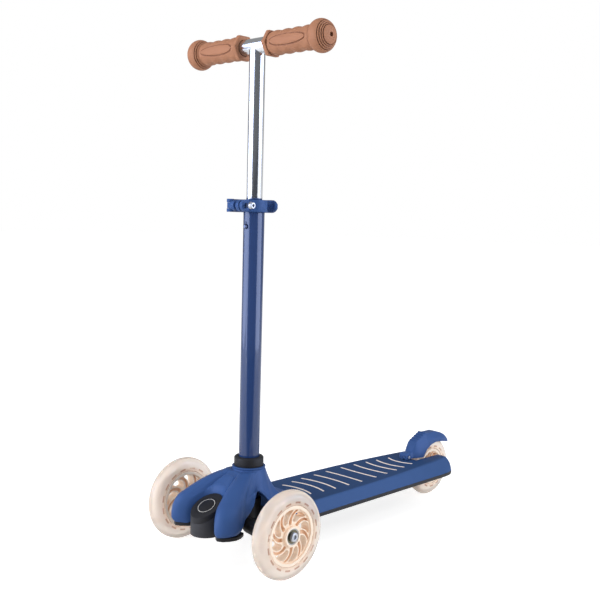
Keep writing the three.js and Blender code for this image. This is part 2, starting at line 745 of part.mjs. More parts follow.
// The housing as a solid: the outer skin, or with a wall given the room inside it
function coverBlock(wall) {
  const outline = wall ? insetOutline(coverOutline, wall) : coverOutline;
  const lowered = wall * coverLowering;
  const rows = Array.from({ length: slopeShares.length + roundSteps + (wall ? 4 : 3) }, () => []);
  coverLoop.forEach((key, i) => {
    const [rimX, rimY] = outline[i];
    const reach = Math.hypot(rimX, rimY - stemSetback);
    const heading = Math.atan2(rimX, stemSetback - rimY);
    const start = heading + (key.evenHeading - heading) * neckEvenShare;
    const neck = neckRadius - wall;
    const neckX = neck * Math.sin(start);
    const neckY = stemSetback - neck * Math.cos(start);
    const shoulderShare = 1 - key.inset / reach;
    const shoulderX = rimX * shoulderShare;
    const shoulderY = stemSetback + (rimY - stemSetback) * shoulderShare;
    const top = neckHeight - wall;
    const crest = key.crest - lowered;
    const lip = collarRadius - wall;
    rows[0].push(new THREE.Vector3(
      lip * Math.sin(start), stemSetback - lip * Math.cos(start), coverTop - wall,
    ));
    slopeShares.forEach((share, row) => {
      const drop = 1 - (1 - share ** key.swell) ** key.fall;
      rows[row + 1].push(new THREE.Vector3(
        neckX + (shoulderX - neckX) * share, neckY + (shoulderY - neckY) * share, top - (top - crest) * drop,
      ));
    });
    const rimZ = Math.min(key.z, crest);
    const roundDrop = Math.min(key.inset * roundDropShare, (crest - rimZ) * roundLimitShare);
    for (let step = 1; step <= roundSteps; step += 1) {
      const turn = (step / roundSteps) * Math.PI / 2;
      const out = shoulderShare + (1 - shoulderShare) * Math.sin(turn);
      rows[slopeShares.length + step].push(new THREE.Vector3(
        rimX * out, stemSetback + (rimY - stemSetback) * out, crest - roundDrop * (1 - Math.cos(turn)),
      ));
    }
    const belly = Math.min(rimZ + tuckHeight, (crest - roundDrop + rimZ) / 2);
    const tuck = 1 - (key.swell - 1) * lobeTuck / reach;
    const tuckedY = stemSetback + (rimY - stemSetback) * tuck;
    const next = slopeShares.length + roundSteps + 1;
    rows[next].push(new THREE.Vector3(rimX, rimY, belly));
    rows[next + 1].push(new THREE.Vector3(rimX * tuck, tuckedY, rimZ));
    if (wall) rows[next + 2].push(new THREE.Vector3(rimX * tuck, tuckedY, drumBottom - cutOverrun));
  });
  return solid(loft(rows, 0, stemSetback));
}

const atStem = (geometry) => geometry.translate(0, stemSetback, 0);
const atDrum = (geometry) => geometry.translate(0, -drumForward, 0);
const tubeBore = lowerTubeRadius + fitGap;
const drumRoof = capHeight + drumRadius + cutOverrun;
const frontCover = cut(
  coverBlock(0),
  coverBlock(coverWall),
  solid(atStem(rod(tubeBore, frontSeam, coverTop + cutOverrun))),
  solid(atDrum(rod(drumRadius + runGap, drumBottom, coverTop + cutOverrun))),
);
piece('front_cover', frontCover, bluePlastic);

// Kingpin stack, measured down the raked axis from the slanted cap
const stackReachShare = 4;
const stackReach = drumRadius * stackReachShare;
function stackSlab(from, to, halfX = stackReach) {
  return solid(onKingpin(box(-halfX, halfX, -stackReach, stackReach, -to, -from)));
}
function stackRod(radius, from, to, sides = roundSides) {
  return solid(onKingpin(rod(radius, -to, -from, sides)));
}
function stackRing(inner, outer, from, to, sides = roundSides) {
  return solid(onKingpin(ring(inner, outer, -to, -from, sides)));
}
const kingpinBore = kingpinRadius + fitGap;
const drumTopDown = capThickness + fitGap;
const bulkheadDown = drumTopDown + bulkheadThickness;
const upperBushingDown = bulkheadDown + fitGap;
const truckBossDown = upperBushingDown + bushingHeight + fitGap;
const lowerBushingDown = truckBossDown + truckBossHeight + fitGap;
const wedgeDown = lowerBushingDown + bushingHeight + fitGap;
const nutDown = wedgeDown + wedgeSeat;
const kingpinEnd = nutDown + nutHeight + fitGap;

const drumColumn = solid(atDrum(rod(drumRadius, drumBottom, drumRoof)));
const headTop = drumTopDown - fitGap - kingpinHead;
piece('drum_cap', cut(
  drumColumn.intersect(stackSlab(0, capThickness)),
  stackRod(kingpinHeadRadius + fitGap, headTop - fitGap, capThickness + cutOverrun, smallSides),
  stackRod(badgeRadius + fitGap, -cutOverrun, badgeDepth),
), blackPlastic);
piece('badge_disc', stackRod(badgeRadius, -fitGap, badgeDepth - fitGap), blackPlastic);
const drumHollow = solid(atDrum(rod(drumRadius - drumWall, drumBottom - cutOverrun, drumRoof)))
  .add(solid(box(
    -drumRadius - cutOverrun, drumRadius + cutOverrun, -drumForward, drumRadius,
    drumBottom - cutOverrun, drumRoof,
  )));
piece('drum_housing', cut(
  drumColumn.intersect(stackSlab(drumTopDown, stackReach)),
  drumHollow.intersect(stackSlab(bulkheadDown, stackReach)),
  stackRod(kingpinBore, 0, stackReach, smallSides),
), blackPlastic);
piece('kingpin_bolt', join(
  stackRod(kingpinHeadRadius, headTop, headTop + kingpinHead, hexSides),
  stackRod(kingpinRadius, headTop, kingpinEnd, smallSides),
), zincSteel);
piece('kingpin_nut', moved(
  hexNut(kingpinBore, kingpinHeadRadius, -nutDown - nutHeight, -nutDown), onKingpin,
), zincSteel);
for (const [place, down] of [['upper', upperBushingDown], ['lower', lowerBushingDown]]) {
  const bushing = stackRing(kingpinBore, bushingRadius, down, down + bushingHeight, roundSides);
  piece(`${place}_bushing`, bushing, darkRubber);
}

// Front base: closes the cover below, seats the stem tube and carries the lower end of the kingpin
const wedgeRadius = bushingRadius + wedgeRim;
const socketRadius = tubeBore + socketWall;
const baseOutline = coverLoop.map(({ x, y, swell }) => {
  const tuck = 1 - (swell - 1) * lobeTuck / Math.hypot(x, y - stemSetback);
  return [x * tuck, stemSetback + (y - stemSetback) * tuck];
});
const basePlate = join(
  solid(plate(baseOutline, frontBottom, frontSeam)),
  solid(box(
    -drumRadius - drumGap, drumRadius + drumGap, -drumForward + fitGap, stemSetback,
    frontBottom, frontSeam,
  )),
);
const waistCut = (sign) => {
  const [low, high] = [sign * waistHalf, sign * (deckFrontHalf + cutOverrun)].sort((a, b) => a - b);
  return solid(box(low, high, -waistFront, waistRear, frontBottom - cutOverrun, frontSeam + cutOverrun));
};
const wedge = stackRod(wedgeRadius, wedgeDown, stackReach).intersect(solid(box(
  -wedgeRadius - cutOverrun, wedgeRadius + cutOverrun, -drumForward, stemSetback, wedgeBottom, capHeight,
)));
// A shallow recess gives the truck's arm room to dip as it leans
const armRoom = solid(box(
  -waistHalf - cutOverrun, waistHalf + cutOverrun, -truckArmHalf - armRoomFront, truckArmHalf,
  frontSeam - armRoomDepth, frontSeam + cutOverrun,
));
const frontBase = cut(
  join(
    cut(basePlate, waistCut(1), waistCut(-1)), wedge,
    solid(atStem(rod(socketRadius, frontBottom, socketTop))),
  ),
  armRoom,
  stackRod(wedgeRadius + runGap, -cutOverrun, wedgeDown),
  stackRod(kingpinBore, 0, stackReach, smallSides),
  stackRod(kingpinHeadRadius + runGap, nutDown - fitGap, stackReach, smallSides),
  solid(atStem(rod(tubeBore, frontSeam, socketTop + cutOverrun))),
  solid(atDrum(rod(drumRadius + fitGap, wedgeBottom - cutOverrun, frontSeam + cutOverrun)))
    .intersect(solid(box(
      -drumRadius - cutOverrun, drumRadius + cutOverrun, -drumForward - drumRadius - cutOverrun,
      -drumForward + fitGap, wedgeBottom - cutOverrun, frontSeam + cutOverrun,
    ))),
);
piece('front_base', frontBase, blackPlastic);

// Truck: a boss between the bushings, a spine that runs back under the cover, and a cross arm to both wheels
const bossMiddleDown = truckBossDown + truckBossHeight / 2;
const stackPoint = (down, back) => [
  -drumForward + down * Math.sin(kingpinRake) + back * Math.cos(kingpinRake),
  capHeight - down * Math.cos(kingpinRake) + back * Math.sin(kingpinRake),
];
const wedgeClear = wedgeRadius + spineClearance;
const truckBossEnd = truckBossDown + truckBossHeight;
const spineFloor = frontSeam + spineClearance;
const floorDown = (capHeight - spineFloor + wedgeClear * Math.sin(kingpinRake)) / Math.cos(kingpinRake);
const spineSide = [
  stackPoint(truckBossEnd, 0), stackPoint(truckBossEnd, wedgeClear), stackPoint(floorDown, wedgeClear),
  [spineRear, spineFloor], [spineRear, spineTop], stackPoint(truckBossDown, wedgeClear + runGap),
  stackPoint(truckBossDown, 0),
];
const spine = solid(plate(spineSide, -spineHalf, spineHalf).rotateY(Math.PI / 2).rotateX(Math.PI / 2));
const spindleEnd = trackHalf - hubHalfWidth + bearingRecess - fitGap;
const armShares = [0, 0.224, 0.407, 0.56, 0.69, 0.83, 0.9, 1];
const armBackShares = [-0.12, 0, -0.35, -0.45, -0.75, -0.3, 0, 0];
const armDropShares = [0, 0, -1.2, -1.1, -0.95, -0.3, 0, 0];
const armHalfShares = [1, 0.88, 1.35, 1.7, 1.9, 1.4, 1.1, 0.94];
const armThickShares = [0.88, 0.81, 1.25, 1.3, 1.35, 1.45, 1.3, 1.14];
const armSides = 12;
const armRoundness = 0.75;
function armRing(i, sign) {
  const rounded = (value) => Math.sign(value) * Math.abs(value) ** armRoundness;
  return Array.from({ length: armSides }, (_, j) => {
    const angle = 2 * Math.PI * (j / armSides);
    return new THREE.Vector3(
      sign * spindleEnd * armShares[i],
      truckArmHalf * armBackShares[i] + truckArmHalf * armHalfShares[i] * rounded(Math.cos(angle)),
      frontWheelRadius + truckArmDrop * armDropShares[i]
        + truckArmThick * armThickShares[i] * rounded(Math.sin(angle)),
    );
  });
}
const leftArm = armShares.map((_, i) => armRing(i, 1));
const rightArm = armShares.map((_, i) => armRing(i, -1)).slice(1).reverse();
const boltBore = (sign) => {
  const [low, high] = [
    sign * (spindleEnd - boltIntoArm - fitGap), sign * (spindleEnd + cutOverrun),
  ].sort((a, b) => a - b);
  return solid(alongX(rod(axleRadius + fitGap, low, high, smallSides)).translate(0, 0, frontWheelRadius));
};
const truckBeam = cut(
  join(
    stackRod(truckBossRadius, truckBossDown, truckBossEnd), spine, solid(loft([...rightArm, ...leftArm])),
  ),
  stackRod(kingpinBore, 0, stackReach, smallSides), boltBore(1), boltBore(-1),
);
piece('truck_beam', truckBeam, blackPlastic);

// Stem: the lower tube in its socket, a collar on the cover's neck and a guide sleeve for the bar tube
const towardsFront = (geometry) => geometry.rotateX(Math.PI / 2);
const buttonBore = solid(atStem(towardsFront(rod(
  buttonRadius + fitGap, barTubeRadius + fitGap / 2, collarRadius, smallSides,
)).translate(0, 0, buttonHeight)));
const tubeFloor = frontSeam + fitGap;
const lowerTubeBore = lowerTubeRadius - lowerTubeWall;
piece('lower_tube', cut(
  solid(atStem(ring(lowerTubeBore, lowerTubeRadius, tubeFloor, lowerTubeTop, wheelSides))), buttonBore,
), bluePaint);
piece('tube_sleeve', cut(solid(atStem(ring(
  barTubeRadius + fitGap, lowerTubeBore - fitGap, lowerTubeTop - sleeveLength, lowerTubeTop, wheelSides,
))), buttonBore), blackPlastic);
piece('stem_collar', solid(atStem(turned([
  [tubeBore, collarBottom], [collarRadius, collarBottom], [collarRadius, collarTop - collarRound],
  [collarRadius - collarRound, collarTop], [tubeBore, collarTop],
], roundSides, true))), blackPlastic);
const buttonOuter = lowerTubeRadius + buttonProud;
const buttonInner = barTubeRadius + fitGap + buttonTravel;
piece('lock_button', solid(atStem(towardsFront(turned([
  [0, buttonInner], [buttonRadius, buttonInner], [buttonRadius, buttonOuter - buttonRound],
  [buttonRadius - buttonRound, buttonOuter], [0, buttonOuter],
], smallSides)).translate(0, 0, buttonHeight))), zincSteel);

// Clamp: a split band with two ears, a bolt along X, a cam nut and a lever that swings round the stem
const clampLow = clampCentreZ - clampHeight / 2;
const clampHigh = clampCentreZ + clampHeight / 2;
const boltY = stemSetback - clampSetback;
const onClampBolt = (geometry) => alongX(geometry).translate(0, boltY, clampCentreZ);
const slitMiddle = (clampEarLeft - clampEarRight) / 2;
piece('clamp_band', cut(
  join(
    solid(atStem(rod(tubeBore + clampWall, clampLow, clampHigh))),
    solid(onClampBolt(rod(clampHeight / 2, -clampEarRight, clampEarLeft, smallSides))),
    solid(box(-clampEarRight, clampEarLeft, boltY, stemSetback - lowerTubeRadius, clampLow, clampHigh)),
  ),
  solid(atStem(rod(tubeBore, clampLow - cutOverrun, clampHigh + cutOverrun, wheelSides))),
  solid(onClampBolt(rod(clampBoltRadius + fitGap, -boltReach, boltReach, smallSides))),
  solid(box(
    slitMiddle - clampSplit / 2, slitMiddle + clampSplit / 2, boltY - clampHeight, stemSetback,
    clampLow - cutOverrun, clampHigh + cutOverrun,
  )),
), bluePlastic);
const camFace = -clampEarRight - fitGap;
const camStep = camFace - camNeckLength;
const leverPinX = -leverCamReach;
const camEnd = leverPinX + leverKnuckle + runGap;
const boltShankEnd = camEnd + clampBoltRadius;
const clampBolt = hexSocketBolt(
  boltHeadRadius, boltHeadLength, clampBoltRadius, boltReach - boltShankEnd, smallSides,
);
const atBoltHead = (geometry) => onClampBolt(geometry).translate(boltReach, 0, 0);
piece('clamp_bolt', cut(
  solid(atBoltHead(clampBolt.body)), solid(atBoltHead(clampBolt.socket)),
), zincSteel);
const tongueHalf = leverKnuckle - runGap;
const onLeverPin = (geometry) => geometry.translate(leverPinX, boltY, clampCentreZ);
piece('clamp_cam', cut(
  join(
    solid(onClampBolt(turned([
      [0, camEnd], [camRadius, camEnd], [camRadius, camStep], [camNeckRadius, camStep],
      [camNeckRadius, camFace], [0, camFace],
    ], smallSides))),
    solid(box(
      leverPinX, camEnd + tongueHalf, boltY - tongueHalf, boltY + tongueHalf,
      clampCentreZ - tongueThick / 2, clampCentreZ + tongueThick / 2,
    )),
    solid(onLeverPin(rod(tongueHalf, -tongueThick / 2, tongueThick / 2, smallSides))),
  ),
  solid(onClampBolt(rod(clampBoltRadius + fitGap, boltShankEnd - fitGap, boltReach, smallSides))),
  solid(onLeverPin(rod(leverPinRadius + fitGap, -leverHeight, leverHeight, smallSides))),
), bluePlastic);

const leverSteps = 18;
const leverTipShare = 0.14;
const leverTipDropShare = 0.55;
const leverBevelShare = 0.25;
const leverPinHeading = Math.atan2(leverPinX, clampSetback);
function leverRing(share) {
  const heading = leverPinHeading - leverSweep * share;
  const intoTip = Math.max(0, share - 1 + leverTipShare) / leverTipShare;
  const half = (leverHeight / 2) * (1 - leverTipDropShare * intoTip ** 2);
  const bevel = leverThickness * leverBevelShare;
  const corners = [
    [0, -half + bevel], [bevel, -half], [leverThickness - bevel, -half], [leverThickness, -half + bevel],
    [leverThickness, half - bevel], [leverThickness - bevel, half], [bevel, half], [0, half - bevel],
  ];
  return corners.map(([out, rise]) => {
    const reach = leverRadius + out;
    return new THREE.Vector3(
      reach * Math.sin(heading), stemSetback - reach * Math.cos(heading), clampCentreZ + rise,
    );
  });
}
const leverArc = loft(Array.from({ length: leverSteps + 1 }, (_, i) => leverRing(i / leverSteps)));
const pinHalf = leverHeight / 2;
piece('clamp_lever', cut(
  join(solid(leverArc), solid(onLeverPin(rod(leverKnuckle, -pinHalf, pinHalf, smallSides)))),
  solid(onLeverPin(rod(
    leverKnuckle + leverClearance, -tongueThick / 2 - fitGap, tongueThick / 2 + fitGap, smallSides,
  ))),
  solid(onLeverPin(rod(leverPinRadius + fitGap, -pinHalf - cutOverrun, pinHalf + cutOverrun, smallSides))),
), bluePlastic);
piece('lever_pin', solid(onLeverPin(rod(leverPinRadius, -pinHalf, pinHalf, smallSides))), zincSteel);

// Handlebar: one bright tube that slides in the stem, with the cross tube welded on top
const barBore = barTubeRadius - barTubeWall;
const barBottom = lowerTubeTop - barInsert;
const tBar = cut(
  join(
    solid(atStem(rod(barTubeRadius, barBottom, barHeight, wheelSides))),
    solid(atStem(alongX(rod(barTubeRadius, -crossbarHalf, crossbarHalf, wheelSides))
      .translate(0, 0, barHeight))),
  ),
  solid(atStem(rod(barBore, barBottom - cutOverrun, barHeight, roundSides))),
  solid(atStem(alongX(rod(barBore, -crossbarHalf - cutOverrun, crossbarHalf + cutOverrun, roundSides))
    .translate(0, 0, barHeight))),
);
piece('t_bar', tBar, brightAluminium);

// Grips: a hexagonal flange, a waved body and a flattened bulb at the end
const gripBore = barTubeRadius + fitGap;
const gripBoreEnd = crossbarHalf + fitGap;
const bulbCentre = gripEnd - bulbHalfWidth;
const bulbStart = bulbCentre - bulbHalfWidth * Math.sqrt(1 - (gripRadius / bulbRadius) ** 2);
const stepsPerBump = 4;
const gripSteps = gripBumpCount * stepsPerBump;
const bulbSteps = 8;
const gripBodyStart = gripInner + gripFlangeWidth;
const gripWave = Array.from({ length: gripSteps }, (_, i) => {
  const share = i / gripSteps;
  const wave = (1 - Math.cos(2 * Math.PI * gripBumpCount * share)) / 2;
  return [gripRadius + gripBump * wave, gripBodyStart + (bulbStart - gripBodyStart) * share];
});
const bulbFrom = Math.acos((bulbCentre - bulbStart) / bulbHalfWidth);
const bulbTo = Math.PI - Math.asin(gripHoleRadius / bulbRadius);
const bulb = Array.from({ length: bulbSteps + 1 }, (_, i) => {
  const angle = bulbFrom + (bulbTo - bulbFrom) * (i / bulbSteps);
  return [bulbRadius * Math.sin(angle), bulbCentre - bulbHalfWidth * Math.cos(angle)];
});
const gripProfile = [
  [gripBore, gripInner], [gripRadius, gripInner], ...gripWave, ...bulb,
  [gripHoleRadius, gripBoreEnd], [gripBore, gripBoreEnd],
];
for (const [side, sign] of [['left', 1], ['right', -1]]) {
  const place = (geometry) => atStem(geometry.rotateY(sign * Math.PI / 2).translate(0, 0, barHeight));
  const flange = ring(gripBore, gripFlangeRadius, gripInner, gripBodyStart, hexSides)
    .rotateZ(Math.PI / hexSides);
  const gripBody = join(solid(place(turned(gripProfile, gripSides, true))), solid(place(flange)));
  const through = rod(gripBore, gripInner - cutOverrun, gripBodyStart + cutOverrun, gripSides);
  piece(`${side}_grip`, cut(gripBody, solid(place(through))), brownRubber);
}

// Brake: a hollow fender on a pin, held up by a spring and pressed down onto the rear tyre
const brakeReach = brakeTailY - brakePivotY;
const brakeRise = brakeCrest - brakePivotZ;
const fenderShares = [
  [-0.036, 0.12, -0.08, 0.54, 1], [-0.016, 0.185, -0.105, 0.54, 1], [0.016, 0.2, -0.108, 0.54, 0.92],
  [0.06, 0.2, -0.091, 0.54, 0.78], [0.094, 0.24, -0.088, 0.6, 0.7], [0.12, 0.37, -0.085, 0.72, 0.76],
  [0.158, 0.62, -0.085, 0.85, 0.96], [0.197, 0.7, -0.085, 0.945, 1], [0.239, 0.765, -0.09, 1, 1],
  [0.273, 0.813, -0.097, 1, 1], [0.299, 0.858, -0.005, 1, 1], [0.359, 0.949, 0.239, 1, 1],
  [0.391, 1, 0.3, 1, 1], [0.462, 0.972, 0.432, 1, 1], [0.568, 0.96, 0.514, 1, 1],
  [0.667, 0.95, 0.489, 1, 0.96], [0.769, 0.865, 0.446, 0.98, 0.9], [0.846, 0.76, 0.39, 0.9, 0.82],
  [0.915, 0.65, 0.34, 0.74, 0.7], [0.966, 0.53, 0.29, 0.55, 0.56], [1, 0.41, 0.28, 0.33, 0.4],
];
const fenderWaistShare = 0.45;
function fenderBlock(wall) {
  const rings = fenderShares.map(([along, top, bottom, width, topWidth]) => {
    const y = brakePivotY + along * (brakeReach - wall);
    const high = brakePivotZ + top * brakeRise - wall;
    const low = brakePivotZ + bottom * brakeRise - (wall ? cutOverrun : 0);
    const half = width * brakeHalfWidth - wall;
    const topHalf = topWidth * brakeTopHalf - wall / 2;
    const waist = low + (high - low) * fenderWaistShare;
    const bevel = brakeWall / 2;
    const corners = [
      [half, low], [half - bevel / 2, waist], [topHalf + bevel, high - bevel], [topHalf, high],
    ];
    const mirrored = corners.map(([x, z]) => [-x, z]).reverse();
    return [...corners, ...mirrored].map(([x, z]) => new THREE.Vector3(x, y, z));
  });
  return solid(loft(rings));
}
const onRearWheel = (geometry) => alongX(geometry).translate(0, wheelbase, rearWheelRadius);
const onBrakePin = (geometry) => alongX(geometry).translate(0, brakePivotY, brakePivotZ);
const earInner = brakeFrontHalf - brakeWall;
const roomHalf = tyreHalfWidth + brakeSideGap;
const roomCrown = rearWheelRadius + brakeClearance;
const roomSide = roomCrown - brakeShoulder;
const roomHalfProfile = [[0, roomHalf], [roomSide, roomHalf], [roomCrown, brakeCrownHalf]];
const roomProfile = [
  ...roomHalfProfile.map(([radius, x]) => [radius, -x]), ...roomHalfProfile.slice().reverse(),
];
const tyreRoom = solid(onRearWheel(turned(roomProfile, wheelSides)));
const shoe = solid(box(
  -brakePadHalf, brakePadHalf, wheelbase - shoeLength / 2, wheelbase + shoeLength / 2,
  2 * rearWheelRadius, brakeCrest - brakeWall / 2,
));
const treadRibs = Array.from({ length: ribCount }, (_, i) => {
  const share = i / (ribCount - 1);
  const [from, to] = [fenderShares[7], fenderShares[12]];
  const at = (k) => from[k] + (to[k] - from[k]) * share;
  const slope = Math.atan2((to[1] - from[1]) * brakeRise, (to[0] - from[0]) * brakeReach);
  return solid(box(-brakePadHalf, brakePadHalf, -ribWidth / 2, ribWidth / 2, -brakeWall / 2, ribHeight)
    .rotateX(slope).translate(0, brakePivotY + at(0) * brakeReach, brakePivotZ + at(1) * brakeRise));
});
piece('brake_fender', cut(
  join(cut(fenderBlock(0), fenderBlock(brakeWall)), shoe, ...treadRibs),
  tyreRoom,
  solid(onBrakePin(rod(hingeBossRadius + hingeClearance, -earInner, earInner, smallSides))),
  solid(onBrakePin(rod(brakePinRadius + fitGap, -brakeHalfWidth, brakeHalfWidth, smallSides))),
), bluePlastic);
const pinReach = brakeFrontHalf + runGap;
piece('brake_pin', solid(onBrakePin(rod(brakePinRadius, -pinReach, pinReach, smallSides))), zincSteel);

// Brake spring: one and a half turns round the pin, one leg over the deck and one under the fender
const coilRadius = brakePinRadius + fitGap + springWire / 2;
const coilSteps = 18;
const wireSides = 6;
const coil = Array.from({ length: coilSteps + 1 }, (_, i) => {
  const share = i / coilSteps;
  const angle = -Math.PI / 2 - 2 * Math.PI * springTurns * share;
  return new THREE.Vector3(
    springWire * (2 * share - 1), brakePivotY + coilRadius * Math.cos(angle),
    brakePivotZ + coilRadius * Math.sin(angle),
  );
});
const springPath = [
  new THREE.Vector3(-springWire, brakePivotY + springLeg, brakePivotZ - coilRadius),
  ...coil,
  new THREE.Vector3(springWire, brakePivotY + springLeg, brakePivotZ + coilRadius + springRise),
];
const springRings = springPath.map((point, i) => {
  const before = springPath[Math.max(0, i - 1)];
  const after = springPath[Math.min(springPath.length - 1, i + 1)];
  const along = after.clone().sub(before).normalize();
  const side = new THREE.Vector3(1, 0, 0).cross(along).normalize();
  const up = along.clone().cross(side);
  return Array.from({ length: wireSides }, (_, j) => {
    const angle = 2 * Math.PI * (j / wireSides);
    const offset = side.clone().multiplyScalar(Math.cos(angle)).addScaledVector(up, Math.sin(angle));
    return point.clone().addScaledVector(offset, springWire / 2);
  });
});
piece('brake_spring', solid(loft(springRings)), zincSteel);

// Assembly
const scooter = new THREE.Group();
const assembly = new THREE.Group();
pieces.forEach((node) => assembly.add(node));
assembly.position.y = -(brakeTailY - frontWheelRadius) / 2;
scooter.add(assembly);

export default scooter;
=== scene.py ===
"""Looks of a three wheel kids scooter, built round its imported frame. Metres, Z up, the rider faces -Y."""
import json
import math

import bpy
import numpy as np
from mathutils import Matrix, Vector


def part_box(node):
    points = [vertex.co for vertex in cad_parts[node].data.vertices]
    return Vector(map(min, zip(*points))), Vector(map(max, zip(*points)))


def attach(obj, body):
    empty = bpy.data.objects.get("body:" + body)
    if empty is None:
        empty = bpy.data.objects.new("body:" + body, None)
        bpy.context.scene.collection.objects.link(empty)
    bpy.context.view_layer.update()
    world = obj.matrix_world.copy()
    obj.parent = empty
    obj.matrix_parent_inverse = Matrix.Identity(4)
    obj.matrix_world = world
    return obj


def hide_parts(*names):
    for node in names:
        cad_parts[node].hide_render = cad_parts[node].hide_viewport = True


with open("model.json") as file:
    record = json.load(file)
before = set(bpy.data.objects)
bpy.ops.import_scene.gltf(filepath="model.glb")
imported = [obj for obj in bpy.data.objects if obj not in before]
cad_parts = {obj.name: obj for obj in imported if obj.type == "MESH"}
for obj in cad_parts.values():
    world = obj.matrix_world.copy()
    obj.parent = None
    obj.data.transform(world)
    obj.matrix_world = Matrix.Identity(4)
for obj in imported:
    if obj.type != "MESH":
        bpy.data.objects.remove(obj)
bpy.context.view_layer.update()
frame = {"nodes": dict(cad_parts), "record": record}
scene = bpy.context.scene

# Camera: a 55 mm view from the rider's front left, a little above the middle of the stem, with the
# small turn about its own axis that the photograph has.
camera_place = Vector((0.93459, -1.0723, 0.4751))
yaw, pitch, roll = math.radians(44.06), math.radians(4.98), math.radians(1.45)
ahead = Vector((-math.sin(yaw) * math.cos(pitch), math.cos(yaw) * math.cos(pitch), -math.sin(pitch)))
level_right = Vector((math.cos(yaw), math.sin(yaw), 0))
level_up = level_right.cross(ahead)
right = math.cos(roll) * level_right + math.sin(roll) * level_up
up = -math.sin(roll) * level_right + math.cos(roll) * level_up
camera = bpy.data.objects.new("camera", bpy.data.cameras.new("camera"))
scene.collection.objects.link(camera)
camera.matrix_world = Matrix((
    (right.x, up.x, -ahead.x, camera_place.x),
    (right.y, up.y, -ahead.y, camera_place.y),
    (right.z, up.z, -ahead.z, camera_place.z),
    (0, 0, 0, 1),
))
camera.data.sensor_width = 36
camera.data.lens = 55.06
camera.data.shift_x = 0.0055
camera.data.shift_y = -0.0005
camera.data.clip_start, camera.data.clip_end = 0.05, 60
scene.camera = camera
scene.view_settings.view_transform = "Standard"


# Floor and surround: a pale floor that fades into a white surround. Reflections see both of them
# darker, with a dark wedge on the floor from the stem's foot towards the camera.
class Wire:
    """A socket's value. Sums and products of wires and numbers add the Math nodes that work them out."""

    def __init__(self, finish, socket):
        self.finish, self.socket = finish, socket

    def math(self, operation, *others):
        return self.finish.node("ShaderNodeMath", {"operation": operation}, dict(enumerate((self, *others))))

    def __add__(self, other): return self.math("ADD", other)
    def __radd__(self, other): return self.math("ADD", other)
    def __sub__(self, other): return self.math("SUBTRACT", other)
    def __rsub__(self, other): return self.math("MULTIPLY", -1).math("ADD", other)
    def __mul__(self, other): return self.math("MULTIPLY", other)
    def __rmul__(self, other): return self.math("MULTIPLY", other)
    def __truediv__(self, other): return self.math("DIVIDE", other)
    def __pow__(self, other): return self.math("POWER", other)


class Finish:
    """A procedural material, or the world. node() makes any node: its kind, its settings, then its inputs."""

    def __init__(self, name, world=False):
        self.owner = (bpy.data.worlds if world else bpy.data.materials).new(name)
        self.owner.use_nodes = True
        self.tree = self.owner.node_tree
        self.tree.nodes.clear()

    def node(self, kind, settings=None, inputs=None, output=0):
        made = self.tree.nodes.new(kind)
        for key, value in (settings or {}).items():
            setattr(made, key, value)
        for key, value in (inputs or {}).items():
            if isinstance(value, Wire):
                self.tree.links.new(value.socket, made.inputs[key])
            else:
                made.inputs[key].default_value = value
        return Wire(self, made.outputs[output]) if made.outputs else None

    @property
    def place(self):
        return self.node("ShaderNodeTexCoord", output="Object")

    def moved(self, location=(0, 0, 0), scale=(1, 1, 1), rotation=(0, 0, 0)):
        return self.node("ShaderNodeMapping", {}, {
            "Vector": self.place, "Location": location, "Scale": scale, "Rotation": rotation})

    def split(self, vector):
        outputs = self.node("ShaderNodeSeparateXYZ", {}, {0: vector}).socket.node.outputs
        return [Wire(self, output) for output in outputs]

    def ray(self, kind):
        """1 for a Camera, Glossy or Transmission ray, as asked for, and 0 for any other."""
        return self.node("ShaderNodeLightPath", output=f"Is {kind} Ray")

    def noise(self, scale, detail, roughness=0.5, place=None):
        return self.node("ShaderNodeTexNoise", {}, {
            "Vector": place or self.place, "Scale": scale, "Detail": detail, "Roughness": roughness})

    def step(self, value, low, high):
        """0 below low, 1 above high, and a smooth rise between them."""
        return self.node("ShaderNodeMapRange", {"interpolation_type": "SMOOTHSTEP"}, {
            "Value": value, "From Min": low, "From Max": high})

    def band(self, value, low, high, blur):
        """1 from low to high and 0 outside, with each edge softened inwards by blur."""
        return self.step(value, low, low + blur) * (1 - self.step(value, high - blur, high))

    def mix(self, share, first, second):
        return self.node("ShaderNodeMix", {"data_type": "RGBA"}, {0: share, 6: first, 7: second}, 2)

    def openness(self, distance):
        """How open the surface is: 0 deep in a hollow of its own piece, and 1 in the open."""
        return self.node(
            "ShaderNodeAmbientOcclusion", {"samples": 6, "only_local": True}, {"Distance": distance}, 1)

    def bump(self, height, distance, strength):
        return self.node("ShaderNodeBump", {}, {"Height": height, "Distance": distance, "Strength": strength})

    def shade(self, constants, varying):
        surface = self.node("ShaderNodeBsdfPrincipled", {}, {**constants, **varying})
        self.node("ShaderNodeOutputMaterial", {}, {"Surface": surface})
        return self.owner


stem_y = -0.196
stem_foot = Vector((0, stem_y, 0))
floor_size, floor_drop = 40, 0.0004
floor_grey, floor_glow, glossy_floor = (0.72, 0.72, 0.72, 1), 0.7, 0.5
plain_white, wedge_shade = (1, 1, 1, 1), (0.06, 0.065, 0.08, 1)
wedge_blur, wedge_fade, wedge_end = 0.25, 2.0, 3.0

